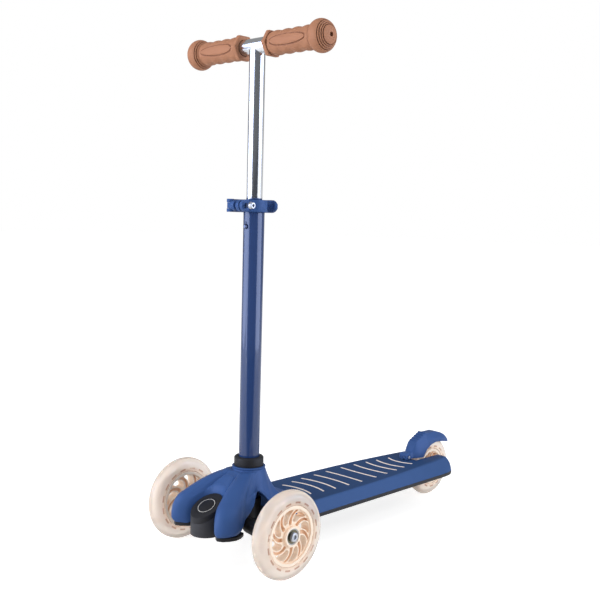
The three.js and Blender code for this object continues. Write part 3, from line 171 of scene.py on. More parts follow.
bpy.ops.object.select_all(action="DESELECT")
bpy.ops.mesh.primitive_plane_add(size=floor_size, location=(0, 0, -floor_drop))
floor = bpy.context.object
floor.name = "floor"
pale = Finish("pale_floor")
floor_body = pale.node("ShaderNodeBsdfDiffuse", {}, {"Color": floor_grey})
floor_light = pale.node("ShaderNodeEmission", {}, {"Color": plain_white, "Strength": floor_glow})
floor_sum = pale.node("ShaderNodeAddShader", {}, {0: floor_body, 1: floor_light})
floor_seen = pale.ray("Camera") + pale.ray("Transmission") + glossy_floor * pale.ray("Glossy")
lit_floor = pale.node("ShaderNodeMixShader", {}, {
    0: floor_seen.math("MINIMUM", 1), 1: floor_body, 2: floor_sum})
towards = (camera_place - stem_foot).xy.normalized()
floor_x, floor_y, _ = pale.split(pale.moved(location=tuple(-stem_foot)))
along_view = floor_x * towards.x + floor_y * towards.y
across_view = (floor_y * towards.x - floor_x * towards.y).math("ABSOLUTE")
wedge = (pale.step(along_view - across_view, 0, wedge_blur)
         * (1 - pale.step(along_view, wedge_fade, wedge_end)))
dark_floor = pale.node("ShaderNodeEmission", {}, {"Color": wedge_shade, "Strength": 1})
whole_floor = pale.node("ShaderNodeMixShader", {}, {
    0: pale.ray("Glossy") * wedge, 1: lit_floor, 2: dark_floor})
pale.node("ShaderNodeOutputMaterial", {}, {"Surface": whole_floor})
floor.data.materials.append(pale.owner)

fill_colour, fill_strength, glossy_surround = (0.95, 0.97, 1, 1), 0.5, 0.35
surround = Finish("surround", world=True)
surround_seen = surround.ray("Camera") + surround.ray("Glossy") + surround.ray("Transmission")
fill_light = surround.node("ShaderNodeBackground", {}, {"Color": fill_colour, "Strength": fill_strength})
white_surround = surround.node("ShaderNodeBackground", {}, {
    "Color": plain_white, "Strength": 1 - (1 - glossy_surround) * surround.ray("Glossy")})
whole_surround = surround.node("ShaderNodeMixShader", {}, {
    0: surround_seen.math("MINIMUM", 1), 1: fill_light, 2: white_surround})
surround.node("ShaderNodeOutputWorld", {}, {"Surface": whole_surround})
scene.world = surround.owner

# Lamps, flag and cards: one broad lamp on each side, one overhead and a small low one in front, which
# reflections don't see. Reflections see a dark flag behind the camera, which gives round metal its dark
# middle, and a cool white card beside it on each side, dimmer next to the flag, for the pale bands.
lamp_aim = Vector((0, 0, 0.3))
for name, lamp_place, lamp_size, power in (
    ("lamp_left", (-0.94, -2.41, 1.1), (1.25, 2.1), 31),
    ("lamp_right", (2.14, 0.89, 1.1), (1.25, 2.1), 31),
    ("lamp_top", (0.2, -0.3, 2.6), (1.8, 1.8), 9),
    ("lamp_low", (0.1, -2.2, 0.5), (1.4, 0.6), 12),
):
    lamp = bpy.data.objects.new(name, bpy.data.lights.new(name, "AREA"))
    lamp.data.shape, lamp.data.energy = "RECTANGLE", power
    lamp.data.size, lamp.data.size_y = lamp_size
    lamp.location = lamp_place
    lamp.visible_glossy = False
    lamp.rotation_mode = "QUATERNION"
    lamp.rotation_quaternion = (lamp_aim - Vector(lamp_place)).to_track_quat("-Z", "Y")
    scene.collection.objects.link(lamp)


def panel(name, place, facing, width, height):
    """Adds a flat panel that only reflections see, its front turned to face a way. Returns its finish."""
    bpy.ops.object.select_all(action="DESELECT")
    bpy.ops.mesh.primitive_plane_add(size=1)
    made = bpy.context.object
    made.name = name
    made.matrix_world = Matrix.LocRotScale(place, facing.to_track_quat("Z", "Y"), Vector((width, height, 1)))
    made.visible_camera = made.visible_diffuse = made.visible_shadow = made.visible_transmission = False
    finish = Finish(name)
    made.data.materials.append(finish.owner)
    return finish


def glow(finish, colour, strength):
    light = finish.node("ShaderNodeEmission", {}, {"Color": colour, "Strength": strength})
    finish.node("ShaderNodeOutputMaterial", {}, {"Surface": light})


flag_back, flag_width, flag_height = 0.6, 6.4, 4
flag_shade, flag_lift, flag_edge = (0.03, 0.035, 0.045, 1), 0.15, (0.2, 0.5)
flag_finish = panel("dark_flag", camera_place - ahead * flag_back, ahead, flag_width, flag_height)
flag_across = flag_finish.split(flag_finish.place)[0].math("ABSOLUTE")
lift = flag_lift + flag_lift * flag_finish.step(flag_across, *flag_edge)
glow(flag_finish, flag_finish.mix(lift, flag_shade, plain_white), 1)

card_reach, card_height, card_size = 2.4, 0.75, 2.6
card_colour, card_dim, card_gain, card_edge = (0.8, 0.9, 1.2, 1), 0.6, 3.1, (-0.5, -0.34)
for name, offset in (("left_card", -70), ("right_card", 72)):
    heading = yaw - math.pi / 2 + math.radians(offset)
    outwards = Vector((math.cos(heading), math.sin(heading), 0))
    card_place = stem_foot + outwards * card_reach + Vector((0, 0, card_height))
    card_finish = panel(name, card_place, -outwards, card_size, card_size)
    from_flag = card_finish.split(card_finish.place)[0] * (-1 if offset > 0 else 1)
    glow(card_finish, card_colour, card_dim + card_gain * card_finish.step(from_flag, *card_edge))


# Wheel hubs: cream nylon, each moulded in one piece. Eight swept spokes join the boss to the rim. Each
# is a shallow channel between two ribs, on both faces, and the gaps between the spokes go right through.
def new_object(name, vertices, edges, faces):
    mesh = bpy.data.meshes.new(name)
    mesh.from_pydata(vertices, edges, faces)
    made = bpy.data.objects.new(name, mesh)
    scene.collection.objects.link(made)
    return made


def copied(source, name):
    made = bpy.data.objects.new(name, source.data.copy())
    scene.collection.objects.link(made)
    return made


def pick(piece):
    """Selects one piece alone and makes it the active one."""
    bpy.ops.object.select_all(action="DESELECT")
    piece.select_set(True)
    bpy.context.view_layer.objects.active = piece


def edit(piece):
    pick(piece)
    bpy.ops.object.mode_set(mode="EDIT")
    bpy.ops.mesh.select_all(action="SELECT")


def smooth(angle=35):
    bpy.ops.object.shade_smooth_by_angle(angle=math.radians(angle))


def close(angle=35):
    """Turns the faces outwards and leaves edit mode."""
    bpy.ops.mesh.normals_make_consistent(inside=False)
    bpy.ops.object.mode_set(mode="OBJECT")
    smooth(angle)


def apply(piece, kind, **settings):
    pick(piece)
    modifier = piece.modifiers.new(kind.lower(), kind)
    for key, value in settings.items():
        setattr(modifier, key, value)
    bpy.ops.object.modifier_apply(modifier=modifier.name)


def rounded(piece, edge, segments=3, limit=30, angle=35):
    """Rounds the edges that turn by more than limit degrees."""
    apply(piece, "BEVEL", width=edge, segments=segments, limit_method="ANGLE",
          angle_limit=math.radians(limit), use_clamp_overlap=True)
    smooth(angle)


def placed(piece, matrix, body, slot, material, *nodes):
    """Puts a piece in its place in its mesh, gives it its finish, and lets it ride and stand for nodes."""
    piece.data.transform(matrix)
    piece.data.update()
    piece.data.materials.clear()
    piece.data.materials.append(material)
    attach(piece, body)
    if nodes:
        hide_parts(*nodes)


def linear(red, green, blue):
    """A colour written as it looks on screen, from 0 to 255, as the shader's linear values."""
    shares = [value / 255 for value in (red, green, blue)]
    return tuple(v / 12.92 if v <= 0.04045 else ((v + 0.055) / 1.055) ** 2.4 for v in shares) + (1,)


front_y, rear_y, half_track = -0.2265, 0.2345, 0.1091
front_radius, rear_radius = 0.06, 0.05
wheels = {
    "front_left": (Vector((half_track, front_y, front_radius)), front_radius, 1),
    "front_right": (Vector((-half_track, front_y, front_radius)), front_radius, -1),
    "rear": (Vector((0, rear_y, rear_radius)), rear_radius, 1),
}
front_rim, rear_rim, rim_width = 0.0407, 0.0307, 0.004
bore, pocket, boss_radius = 0.0067, 0.01115, 0.0136
pocket_floor, boss_face, web_face, groove_floor, rim_face = 0.0033, 0.0116, 0.0072, 0.0024, 0.0095
spokes, spoke_half, rib_width = 8, 0.0043, 0.0016
spoke_pitch = 2 * math.pi / spokes
spoke_swirl, spoke_end, swirl_power = math.radians(30), math.radians(66), 2.1
groove_start, groove_margin, groove_corner = 0.0153, 0.0016, 0.0014
groove_rings, groove_ring_gap = 4, 0.0004
front_window, rear_window, window_margin, window_corner = 0.0187, 0.017, 0.0018, 0.0035
window_shares = (0, 0.02, 0.06, 0.13, 0.24, 0.38, 0.52, 0.66, 0.79, 0.89, 0.96, 1)
end_share = 0.3
groove_columns, window_columns = 4, 10
columns = groove_columns + window_columns
hub_edge, hub_limit = 0.00045, 40


def wheel_axis(centre, facing):
    """Local Z along the axle, pointing outwards, and local X towards the back of a left wheel."""
    return Matrix.Translation(centre) @ Matrix((
        (0, 0, facing, 0), (facing, 0, 0, 0), (0, 1, 0, 0), (0, 0, 0, 1)))


def clamped(value, low, high):
    """How far a value has come from low to high, from 0 to 1."""
    return min(1, max(0, (value - low) / (high - low)))


def swirl(radius, rim):
    return spoke_end + spoke_swirl * (1 - clamped(radius, boss_radius, rim) ** swirl_power)


def rounded_end(radius, start, stop, reach):
    """How wide a window or groove is at a radius, as a share: full in its middle and round at its ends."""
    near = clamped(min(radius - start, stop - radius), 0, reach)
    return end_share + (1 - end_share) * math.sqrt(1 - (1 - near) ** 2)


def spread(count):
    """So many places from -1 to 1, evenly."""
    return [2 * k / (count - 1) - 1 for k in range(count)]


def hub(name, rim_outer, window_start):
    """One grid of rings and columns that follow the spokes. Each cell has a level, or is a window."""
    rim_inner = rim_outer - rim_width
    groove = (groove_start, rim_inner - groove_margin)
    window = (window_start, rim_inner - window_margin)
    inside = [groove[0] + groove_ring_gap * k for k in range(groove_rings)] + [groove[1]]
    inside += [window[0] + (window[1] - window[0]) * share for share in window_shares]
    inside = sorted({round(radius, 6) for radius in inside})
    rings = [bore, pocket, boss_radius, *inside, rim_inner, rim_outer]
    corners, faces = {}, []

    def corner(i, j, height):
        """The number of the point where ring i and column j cross at a height, made when first asked for."""
        key = (i, j % (columns * spokes), round(height, 7))
        if key not in corners:
            radius = rings[i]
            groove_half = (spoke_half - rib_width) / radius
            groove_half *= rounded_end(radius, *groove, groove_corner)
            window_half = spoke_pitch / 2 - spoke_half / radius
            window_half *= rounded_end(radius, *window, window_corner)
            turns = [groove_half * place for place in spread(groove_columns)]
            turns += [spoke_pitch / 2 + window_half * place for place in spread(window_columns)]
            angle = j // columns * spoke_pitch + swirl(radius, rim_inner) + turns[j % columns]
            corners[key] = (len(corners), (radius * math.cos(angle), radius * math.sin(angle), height))
        return corners[key][0]

    def level(i, j):
        """Half the thickness of a cell. A window has none."""
        middle, column = (rings[i] + rings[i + 1]) / 2, j % columns
        if middle < boss_radius:
            return pocket_floor if middle < pocket else boss_face
        if middle > rim_inner:
            return rim_face
        if column < groove_columns - 1 and groove[0] < middle < groove[1]:
            return groove_floor
        if groove_columns <= column < columns - 1 and window[0] < middle < window[1]:
            return 0
        return web_face

    def wall(first, second, low, high):
        """The upright faces between two levels: one right through beside a gap, else one on each side."""
        spans = [(-high, high)] if low == 0 else [(-low, -high), (low, high)]
        for bottom, top in spans:
            faces.append((corner(*first, bottom), corner(*second, bottom),
                          corner(*second, top), corner(*first, top)))

    for i in range(len(rings) - 1):
        for j in range(columns * spokes):
            here = level(i, j)
            outline = ((i, j), (i + 1, j), (i + 1, j + 1), (i, j + 1))
            if here:
                faces += [tuple(corner(*point, side * here) for point in outline) for side in (-1, 1)]
            beyond = level(i + 1, j) if i < len(rings) - 2 else 0
            beside = level(i, j + 1)
            neighbours = [(beyond, (i + 1, j), (i + 1, j + 1)), (beside, (i, j + 1), (i + 1, j + 1))]
            if i == 0:
                neighbours.append((0, (i, j), (i, j + 1)))
            for other, first, second in neighbours:
                if other != here:
                    wall(first, second, min(other, here), max(other, here))
    piece = new_object(name, [place for _, place in sorted(corners.values())], [], faces)
    edit(piece)
    close()
    rounded(piece, hub_edge, limit=hub_limit)
    return piece


def cream_plastic():
    """Cream nylon: soft gloss, painted shade that darkens and warms its own hollows, a faint painted glow all
    over in that tint, and faint flow marks.
    """
    finish = Finish("cream_nylon")
    cloud = finish.noise(scale=60, detail=3)
    grain = finish.noise(scale=1800, detail=2)
    # Painted shade: a deeper orange in the piece's own hollows, also used as the colour of the painted glow.
    painted_hollow_shade = finish.mix(finish.openness(distance=0.008), linear(232, 186, 144), linear(252, 236, 219))
    # The faint emission is a painted glow that stands in for light passing through the nylon.
    return finish.shade(
        {"Specular IOR Level": 0.3, "Emission Strength": 0.05},
        {"Base Color": finish.mix(cloud * 0.25, painted_hollow_shade, linear(253, 234, 212)), "Emission Color": painted_hollow_shade,
         "Roughness": 0.34 + 0.1 * grain, "Normal": finish.bump(grain, distance=0.00002, strength=0.2)})


nylon = cream_plastic()
front_hub, rear_hub = hub("front_hub", front_rim, front_window), hub("rear_hub", rear_rim, rear_window)
for wheel_name, (centre, radius, facing) in wheels.items():
    piece = copied(rear_hub if wheel_name == "rear" else front_hub, wheel_name + "_moulded_hub")
    placed(piece, wheel_axis(centre, facing), wheel_name + "_wheel", "cream_plastic",
           nylon, wheel_name + "_hub")
for pattern in (front_hub, rear_hub):
    bpy.data.objects.remove(pattern)

# Tyres: clear cast urethane, milky and slightly pink, poured round the hub. A ring of short dark
# dashes is painted on it: painted shade for the hub's slots, seen through the urethane.
slot_depth, slot_half, slot_blur = 0.0147, 0.0016, 0.0007
front_dashes, rear_dashes, dash_start, dash_stop, dash_blur = 16, 13, 0.16, 0.78, 0.08
deep_start, deep_end = 0.0188, 0.0115
tyre_sides, seam_gap = 112, 0.000001
tyre_depths_and_halves = (
    (0.019, 0.0101), (0.0183, 0.0108), (0.0165, 0.011), (0.0125, 0.011), (0.0085, 0.0106),
    (0.0057, 0.0097), (0.0036, 0.0083), (0.002, 0.0064), (0.0008, 0.0042), (0.0002, 0.0021),
)


def turned(name, profile, sides, closed=True):
    """A profile of (radius, height) points spun about Z."""
    count = len(profile)
    edges = [(i, (i + 1) % count) for i in range(count if closed else count - 1)]
    piece = new_object(name, [(radius, 0, height) for radius, height in profile], edges, [])
    edit(piece)
    bpy.ops.mesh.spin(steps=sides, angle=2 * math.pi, center=(0, 0, 0), axis=(0, 0, 1))
    bpy.ops.mesh.select_all(action="SELECT")
    bpy.ops.mesh.remove_doubles(threshold=seam_gap)
    close()
    return piece


def from_axis(first, second):
    """A point's distance from an axis, from its two places across the axis."""
    return (first * first + second * second) ** 0.5


def tyre_finish(wheel_name, centre, radius):
    finish = Finish(wheel_name + "_urethane")
    _, y, z = finish.split(finish.moved(location=tuple(-centre)))
    reach = from_axis(y, z)
    dashes = front_dashes if radius == front_radius else rear_dashes
    phase = (y.math("ARCTAN2", z) / (2 * math.pi) * dashes).math("FRACT")
    slot_reach = radius - slot_depth
    # Painted shade: dark dashes where the hub's shaded slots would show through the tyre.
    painted_slot_shade = (finish.band(phase, dash_start, dash_stop, dash_blur)
             * finish.band(reach, slot_reach - slot_half, slot_reach + slot_half, slot_blur)
             * finish.step(finish.noise(scale=30, detail=1), 0.1, 0.45))
    deep = 1 - finish.step(reach, radius - deep_start, radius - deep_end)
    cloud = finish.noise(scale=55, detail=2)
    clear = finish.mix(deep, linear(245, 235, 225), linear(244, 214, 190))
    milk = finish.mix(cloud * 0.4, clear, linear(250, 243, 237))
    # The faint emission in the milk colour is a painted glow that stands in for light passing through the
    # urethane.
    return finish.shade(
        {"Transmission Weight": 0.5, "IOR": 1.38, "Specular IOR Level": 0.5, "Subsurface Weight": 0.15,
         "Subsurface Scale": 0.006, "Subsurface Radius": (1.0, 0.7, 0.5), "Emission Strength": 0.05},
        {"Base Color": finish.mix(painted_slot_shade * 0.85, milk, linear(176, 122, 96)), "Emission Color": milk,
         "Roughness": 0.1 + 0.06 * cloud})


for wheel_name, (centre, radius, facing) in wheels.items():
    lower = [(radius - depth, -half) for depth, half in tyre_depths_and_halves]
    upper = [(reach, -height) for reach, height in reversed(lower)]
    piece = turned(wheel_name + "_cast_tyre", [*lower, (radius, 0), *upper], tyre_sides)
    placed(piece, wheel_axis(centre, facing), wheel_name + "_wheel", "clear_tyre",
           tyre_finish(wheel_name, centre, radius), wheel_name + "_tyre")

# Bearings: a steel ball bearing pressed into each side of each hub. Its inner and outer race are
# bright, and the pressed shield between them is a duller, olive grey steel.
race_bore, race_outer, race_low, race_high = 0.004, 0.011, 0.0036, 0.0106
race_edge, race_chamfer, race_sides = 0.0004, 0.0003, 48
shield_inner, shield_outer, shield_drop, shield_slope = 0.0066, 0.0095, 0.0006, 0.0002
shield_band, shield_blur = (0.0063, 0.0097), 0.0002


def bearing_steel(wheel_name, centre):
    finish = Finish(wheel_name + "_bearing_steel")
    _, y, z = finish.split(finish.moved(location=tuple(-centre)))
    shield = finish.band(from_axis(y, z), *shield_band, shield_blur)
    stain = finish.noise(scale=160, detail=3)
    bright = finish.mix(stain, linear(176, 178, 180), linear(208, 210, 212))
    return finish.shade(
        {"Metallic": 1.0},
        {"Base Color": finish.mix(shield, bright, linear(118, 112, 92)), "Roughness": 0.3 + 0.1 * stain})


race_profile = (
    (race_bore, race_low), (race_outer, race_low),
    (race_outer, race_high - race_edge), (race_outer - race_chamfer, race_high),
    (shield_outer + shield_slope, race_high), (shield_outer, race_high - shield_drop),
    (shield_inner, race_high - shield_drop), (shield_inner - shield_slope, race_high),
    (race_bore + race_edge, race_high), (race_bore, race_high - race_edge),
)
for wheel_name, (centre, radius, facing) in wheels.items():
    races = bearing_steel(wheel_name, centre)
    for side, sign in (("outer", 1), ("inner", -1)):
        profile = [(reach, sign * height) for reach, height in race_profile]
        piece = turned(f"{wheel_name}_{side}_race", profile, race_sides)
        placed(piece, wheel_axis(centre, facing), wheel_name + "_wheel", "zinc_steel", races,
               f"{wheel_name}_bearing_{side}")

# Axle bolts, nut, spacers and sleeves: plain turned steel with a bright zinc plate, kept in the shape
# of the frame's own nodes, the bolts' and nut's edges eased. The bolts clamp the bearings through the
# spacers.
rides_on = {node: body for body, nodes in frame["record"]["behaviour"]["bodies"].items() for node in nodes}
slot_of = {row["node"]: row["material_slot"] for row in frame["record"]["subparts"]}
merge_gap, flat_angle = 0.000002, math.radians(0.6)


def dressed(node, material, edge=0.0003, segments=2, limit=32, angle=38):
    """A copy of a frame node with its triangles merged, its edges rounded and its curves smooth."""
    piece = copied(frame["nodes"][node], node + "_made")
    edit(piece)
    bpy.ops.mesh.customdata_custom_splitnormals_clear()
    bpy.ops.mesh.remove_doubles(threshold=merge_gap)
    bpy.ops.mesh.dissolve_limited(angle_limit=flat_angle)
    bpy.ops.object.mode_set(mode="OBJECT")
    if edge:
        rounded(piece, edge, segments, limit, angle)
    else:
        smooth(angle)
    placed(piece, Matrix.Identity(4), rides_on[node], slot_of[node], material, node)


def zinc_steel():
    """Bright zinc plate: metal with fine scratches and faint cloudy stains."""
    finish = Finish("zinc_steel")
    scratch = finish.noise(scale=900, detail=4, roughness=0.6, place=finish.moved(scale=(1, 1, 0.08)))
    stain = finish.noise(scale=120, detail=3)
    return finish.shade(
        {"Metallic": 1.0},
        {"Base Color": finish.mix(stain, linear(176, 178, 182), linear(214, 216, 220)),
         "Roughness": 0.28 + 0.14 * scratch, "Normal": finish.bump(scratch, distance=0.00001, strength=0.3)})


steel = zinc_steel()
for node in ("front_left_axle_bolt", "front_right_axle_bolt", "rear_axle_bolt", "rear_axle_nut"):
    dressed(node, steel)
for node in ("front_left_spacer", "front_right_spacer", "rear_spacer",
             "rear_sleeve_left", "rear_sleeve_right"):
    dressed(node, steel, edge=0)


# Deck: a blue moulded shell with a satin grain, closed from below by a black base, with ten grip strips
# of soft cream rubber let into its top. Its upward faces are painted a darker blue as shade, and are a little
# rougher.
def deck_plastic():
    finish = Finish("blue_deck_plastic")
    grain = finish.noise(scale=1500, detail=3, roughness=0.6)
    cloud = finish.noise(scale=18, detail=3)
    upright = finish.split(finish.node("ShaderNodeTexCoord", output="Normal"))[2]
    # Painted shade: a darker blue on the faces that point up.
    shaded_top = finish.step(upright, 0.9, 0.99)
    sides = finish.mix(cloud, linear(54, 83, 132), linear(58, 88, 139))
    return finish.shade(
        {"Specular IOR Level": 0.12},
        {"Base Color": finish.mix(shaded_top, sides, linear(40, 68, 111)),
         "Roughness": 0.46 + 0.12 * grain + 0.1 * shaded_top,
         "Normal": finish.bump(grain, distance=0.00004, strength=0.4)})


def black_plastic(name, deep, pale):
    """Black nylon with a moulded satin grain and a trace of dust."""
    finish = Finish(name)
    grain = finish.noise(scale=1300, detail=3, roughness=0.6)
    dust = finish.noise(scale=40, detail=4)
    return finish.shade(
        {"Specular IOR Level": 0.28},
        {"Base Color": finish.mix(dust, deep, pale), "Roughness": 0.44 + 0.12 * grain,
         "Normal": finish.bump(grain, distance=0.00004, strength=0.35)})


def strip_rubber():
    finish = Finish("cream_strip")
    grain = finish.noise(scale=2600, detail=2, roughness=0.7)
    cloud = finish.noise(scale=90, detail=3)
    return finish.shade(
        {"Specular IOR Level": 0.25},
        {"Base Color": finish.mix(cloud, linear(240, 224, 214), linear(250, 238, 228)),
         "Roughness": 0.62 + 0.2 * grain, "Normal": finish.bump(grain, distance=0.00008, strength=0.5)})


black = black_plastic("black_satin_plastic", linear(30, 30, 33), linear(40, 40, 43))
strip, strip_count = strip_rubber(), 10
dressed("deck_shell", deck_plastic(), edge=0.0007, segments=3, limit=14, angle=13)
dressed("deck_base", black, edge=0.0006)
for number in range(1, strip_count + 1):
    dressed(f"deck_stripe_{number}", strip, limit=40)


# Front base, truck and kingpin: the base and the truck are moulded in black glass-filled nylon. The
# truck turns between two rubber bushings on a zinc plated bolt with a nut.
def dark_rubber():
    finish = Finish("dark_rubber")
    grain = finish.noise(scale=1100, detail=3)
    return finish.shade(
        {"Specular IOR Level": 0.3},
        {"Base Color": finish.mix(grain, linear(22, 22, 24), linear(34, 34, 36)),
         "Roughness": 0.72 + 0.1 * grain, "Normal": finish.bump(grain, distance=0.00005, strength=0.4)})


rubber = dark_rubber()
dressed("front_base", black, edge=0.0005)
dressed("truck_beam", black, edge=0.0006, limit=35, angle=50)
for node in ("upper_bushing", "lower_bushing"):
    dressed(node, rubber, edge=0.0006)
for node in ("kingpin_bolt", "kingpin_nut"):
    dressed(node, steel)

# Front cover: a blue satin moulding, drawn up into a neck round the stem's foot. Two lobes in front
# hold the drum between them, and a broad skirt behind meets the deck.

# The keys of the outline run from the front middle round the left side to the rear middle. Each gives,
# as shares, the place across and along, the heights of the rim and of the shoulder and the shoulder's
# inset, and then the powers that swell and steepen the slope from the neck.
cover_key_shares = (
    (0, -0.551, 0.515, 0.818, 0.59, 1.4, 1), (0.198, -0.582, 0.4, 0.79, 0.56, 1.4, 1),
    (0.322, -0.658, 0.255, 0.688, 0.5, 1.4, 1), (0.405, -0.767, 0.112, 0.616, 0.5, 1.5, 1),
    (0.499, -0.885, 0, 0.545, 0.62, 1.6, 1), (0.628, -0.963, 0, 0.573, 0.81, 1.7, 1),
    (0.752, -1, 0, 0.6, 0.97, 1.7, 1), (0.874, -0.964, 0.006, 0.6, 1, 1.7, 1),
    (0.965, -0.885, 0.016, 0.59, 0.94, 1.7, 1), (1.02, -0.785, 0.034, 0.58, 0.87, 1.7, 1),
    (0.99, -0.685, 0.075, 0.58, 0.81, 1.7, 1), (0.895, -0.58, 0.14, 0.587, 0.62, 1.6, 1),
    (0.777, -0.486, 0.198, 0.6, 0.5, 1.5, 1), (0.645, -0.326, 0.255, 0.59, 0.31, 1.3, 1),
    (0.595, -0.266, 0.298, 0.6, 0.25, 1.2, 1), (0.521, -0.175, 0.371, 0.63, 0.16, 1.1, 1),
    (0.529, -0.125, 0.645, 0.667, 0.06, 1, 1.2), (0.612, -0.055, 0.573, 0.595, 0.06, 1, 1.3),
    (0.694, 0.032, 0.4, 0.47, 0.12, 1, 1.6), (0.826, 0.148, 0.111, 0.4, 0.25, 1, 2.2),
    (0.942, 0.277, 0, 0.342, 0.31, 1, 3), (1, 0.51, 0, 0.317, 0.37, 1, 3.8),
    (1, 0.897, 0, 0.301, 0.4, 1, 4.2), (0.992, 0.987, 0.04, 0.299, 0.37, 1, 4.2),
    (0.926, 1, 0.226, 0.299, 0.19, 1, 4.2), (0.86, 1, 0.255, 0.299, 0.1, 1, 4.2),
    (0.496, 1, 0.255, 0.299, 0.1, 1, 3.6), (0, 1, 0.255, 0.299, 0.1, 1, 3.1),
)
places_per_key, slope_rings, shoulder_rings, skirt_rings = 6, 26, 10, 7
cover_low, neck_height, cover_top = 0.0538, 0.1216, 0.1267
cover_half, cover_front, cover_rear = 0.0607, 0.0998, 0.0772
neck_radius, tube_room = 0.024, 0.01505
cover_wall, cover_edge, cover_seam_gap = 0.0021, 0.0004, 0.00002
neck_flange = ((0.0233, 0), (0.0238, 0.0005), (0.0238, 0.0014), (0.0231, 0.0021), (0.0229, 0.0034))
lobe_swell, shoulder_inset, shoulder_steep, shoulder_share = 0.7, 0.016, 1.9, 0.7
shoulder_lean, shoulder_bend = 0.34, 0.12
belly_height, tuck_depth, tuck_power = 0.014, 0.006, 1.6
ridge_height, ridge_start, ridge_end = 0.0011, (0, 0.04), (0.13, 0.19)
valley_depth, valley_key, valley_drift, valley_half = 0.0021, 3.1, 0.5, 0.55
valley_start, valley_end = (0.12, 0.3), (0.75, 1)
tongue_height, tongue_start, tongue_side = 0.0009, (0.4, 0.5), (1.7, 2.3)
drum_y = front_y - 0.047
drum_room, drum_room_sides, drum_room_height, drum_room_middle = 0.0221, 128, 0.09, 0.0897


def closed_curve(keys, steps, ease=0.42):
    """A closed loop of rows passed through smoothly, with so many places for each row."""
    after = np.roll(keys, -1, 0)
    slope = ease * (after - np.roll(keys, 1, 0))
    places = []
    for t in np.arange(steps) / steps:
        rise = t * t * (3 - 2 * t)
        places.append(keys * (1 - rise) + after * rise + slope * t * (1 - t) ** 2
                      - np.roll(slope, -1, 0) * t * t * (1 - t))
    return np.stack(places, 1).reshape(-1, keys.shape[1])


def soft(value, low, high):
    """0 below low, 1 above high, and a smooth rise between them."""
    share = np.clip((value - low) / (high - low), 0, 1)
    return share * share * (3 - 2 * share)


def skin(name, rings, looped=False):
    """A surface over rings of points, all with as many. Looped joins the last ring to the first."""
    around, count = len(rings[0]), len(rings)
    faces = [(i * around + j, i * around + (j + 1) % around,
              (i + 1) % count * around + (j + 1) % around, (i + 1) % count * around + j)
             for i in range(count if looped else count - 1) for j in range(around)]
    return new_object(name, [point for ring in rings for point in ring], [], faces)


def cover_keys():
    """The outline's keys in metres, with the neck's direction and a number for each key."""
    rows = []
    for i, (across, along, rim, crest, inset, swell, fall) in enumerate(cover_key_shares):
        x, y = across * cover_half, along * (cover_front if along < 0 else cover_rear)
        turn = (math.atan2(x, -y) + math.pi * i / (len(cover_key_shares) - 1)) / 2
        rise = neck_height - cover_low
        rows.append((x, y, cover_low + rim * rise, cover_low + crest * rise, inset * shoulder_inset,
                     math.sin(turn), -math.cos(turn), swell, fall, i))
    left = np.array(rows)
    mirrored_right = left[1:-1][::-1] * np.array([-1, 1, 1, 1, 1, -1, 1, 1, 1, 1])
    return np.vstack((left, mirrored_right))


def cover(name):
    """The skin runs from the tube's room down over the neck, slope, shoulder and skirt to the rim."""
    x, y, rim, crest, inset, neck_x, neck_y, swell, fall, key = closed_curve(cover_keys(), places_per_key).T
    rim = np.minimum(rim, crest)
    neck_length = np.hypot(neck_x, neck_y)
    neck_x, neck_y = neck_x / neck_length, neck_y / neck_length
    reach = np.hypot(x, y)
    inner = 1 - inset / reach
    lobe = np.clip((swell - 1) / lobe_swell, 0, 1)
    drop = np.minimum(inset * shoulder_steep, (crest - rim) * shoulder_share)
    flat = np.ones_like(x)
    layers = [(radius * neck_x, radius * neck_y, (cover_top - down) * flat)
              for radius, down in ((tube_room, 0), *neck_flange)]
    for share in np.linspace(0, 1, slope_rings):
        fallen = 1 - np.maximum(0, 1 - share ** swell) ** fall
        ridge = lobe * (1 - soft(share, *ridge_end)) * soft(share, *ridge_start)
        valley = (np.exp(-((key - valley_key + valley_drift * share) / valley_half) ** 2)
                  * soft(share, *valley_start) * (1 - soft(share, *valley_end)))
        tongue = soft(share, *tongue_start) * (1 - soft(key, *tongue_side))
        height = (neck_height - (neck_height - crest) * fallen + ridge_height * ridge
                  - valley_depth * valley + tongue_height * tongue)
        layers.append((neck_x * neck_radius + (x * inner - neck_x * neck_radius) * share,
                       neck_y * neck_radius + (y * inner - neck_y * neck_radius) * share, height))
    for share in np.linspace(0, 1, shoulder_rings + 1)[1:]:
        out = inner + (1 - inner) * share ** (1 - shoulder_bend * lobe)
        lean = shoulder_lean * lobe
        fallen = lean * share + (1 - lean) * (1 - math.sqrt(1 - share * share))
        layers.append((x * out, y * out, crest - drop * fallen))
    belly = np.minimum(rim + belly_height, (crest - drop + rim) / 2)
    tuck = 1 - (swell - 1) * tuck_depth / reach
    for share in np.linspace(0, 1, skirt_rings):
        near = 1 + (tuck - 1) * share ** tuck_power
        layers.append((x * near, y * near, belly + (rim - belly) * share))
    piece = skin(name, [list(zip(across, along + stem_y, height)) for across, along, height in layers])
    edit(piece)
    bpy.ops.mesh.remove_doubles(threshold=cover_seam_gap)
    close(angle=40)
    apply(piece, "SOLIDIFY", thickness=cover_wall, offset=-1)
    bpy.ops.object.select_all(action="DESELECT")
    bpy.ops.mesh.primitive_cylinder_add(
        vertices=drum_room_sides, radius=drum_room, depth=drum_room_height,
        location=(0, drum_y, drum_room_middle))
    room = bpy.context.object
    apply(piece, "BOOLEAN", operation="DIFFERENCE", solver="EXACT", object=room)
    bpy.data.objects.remove(room)
    rounded(piece, cover_edge, segments=2, limit=60, angle=45)
    return piece


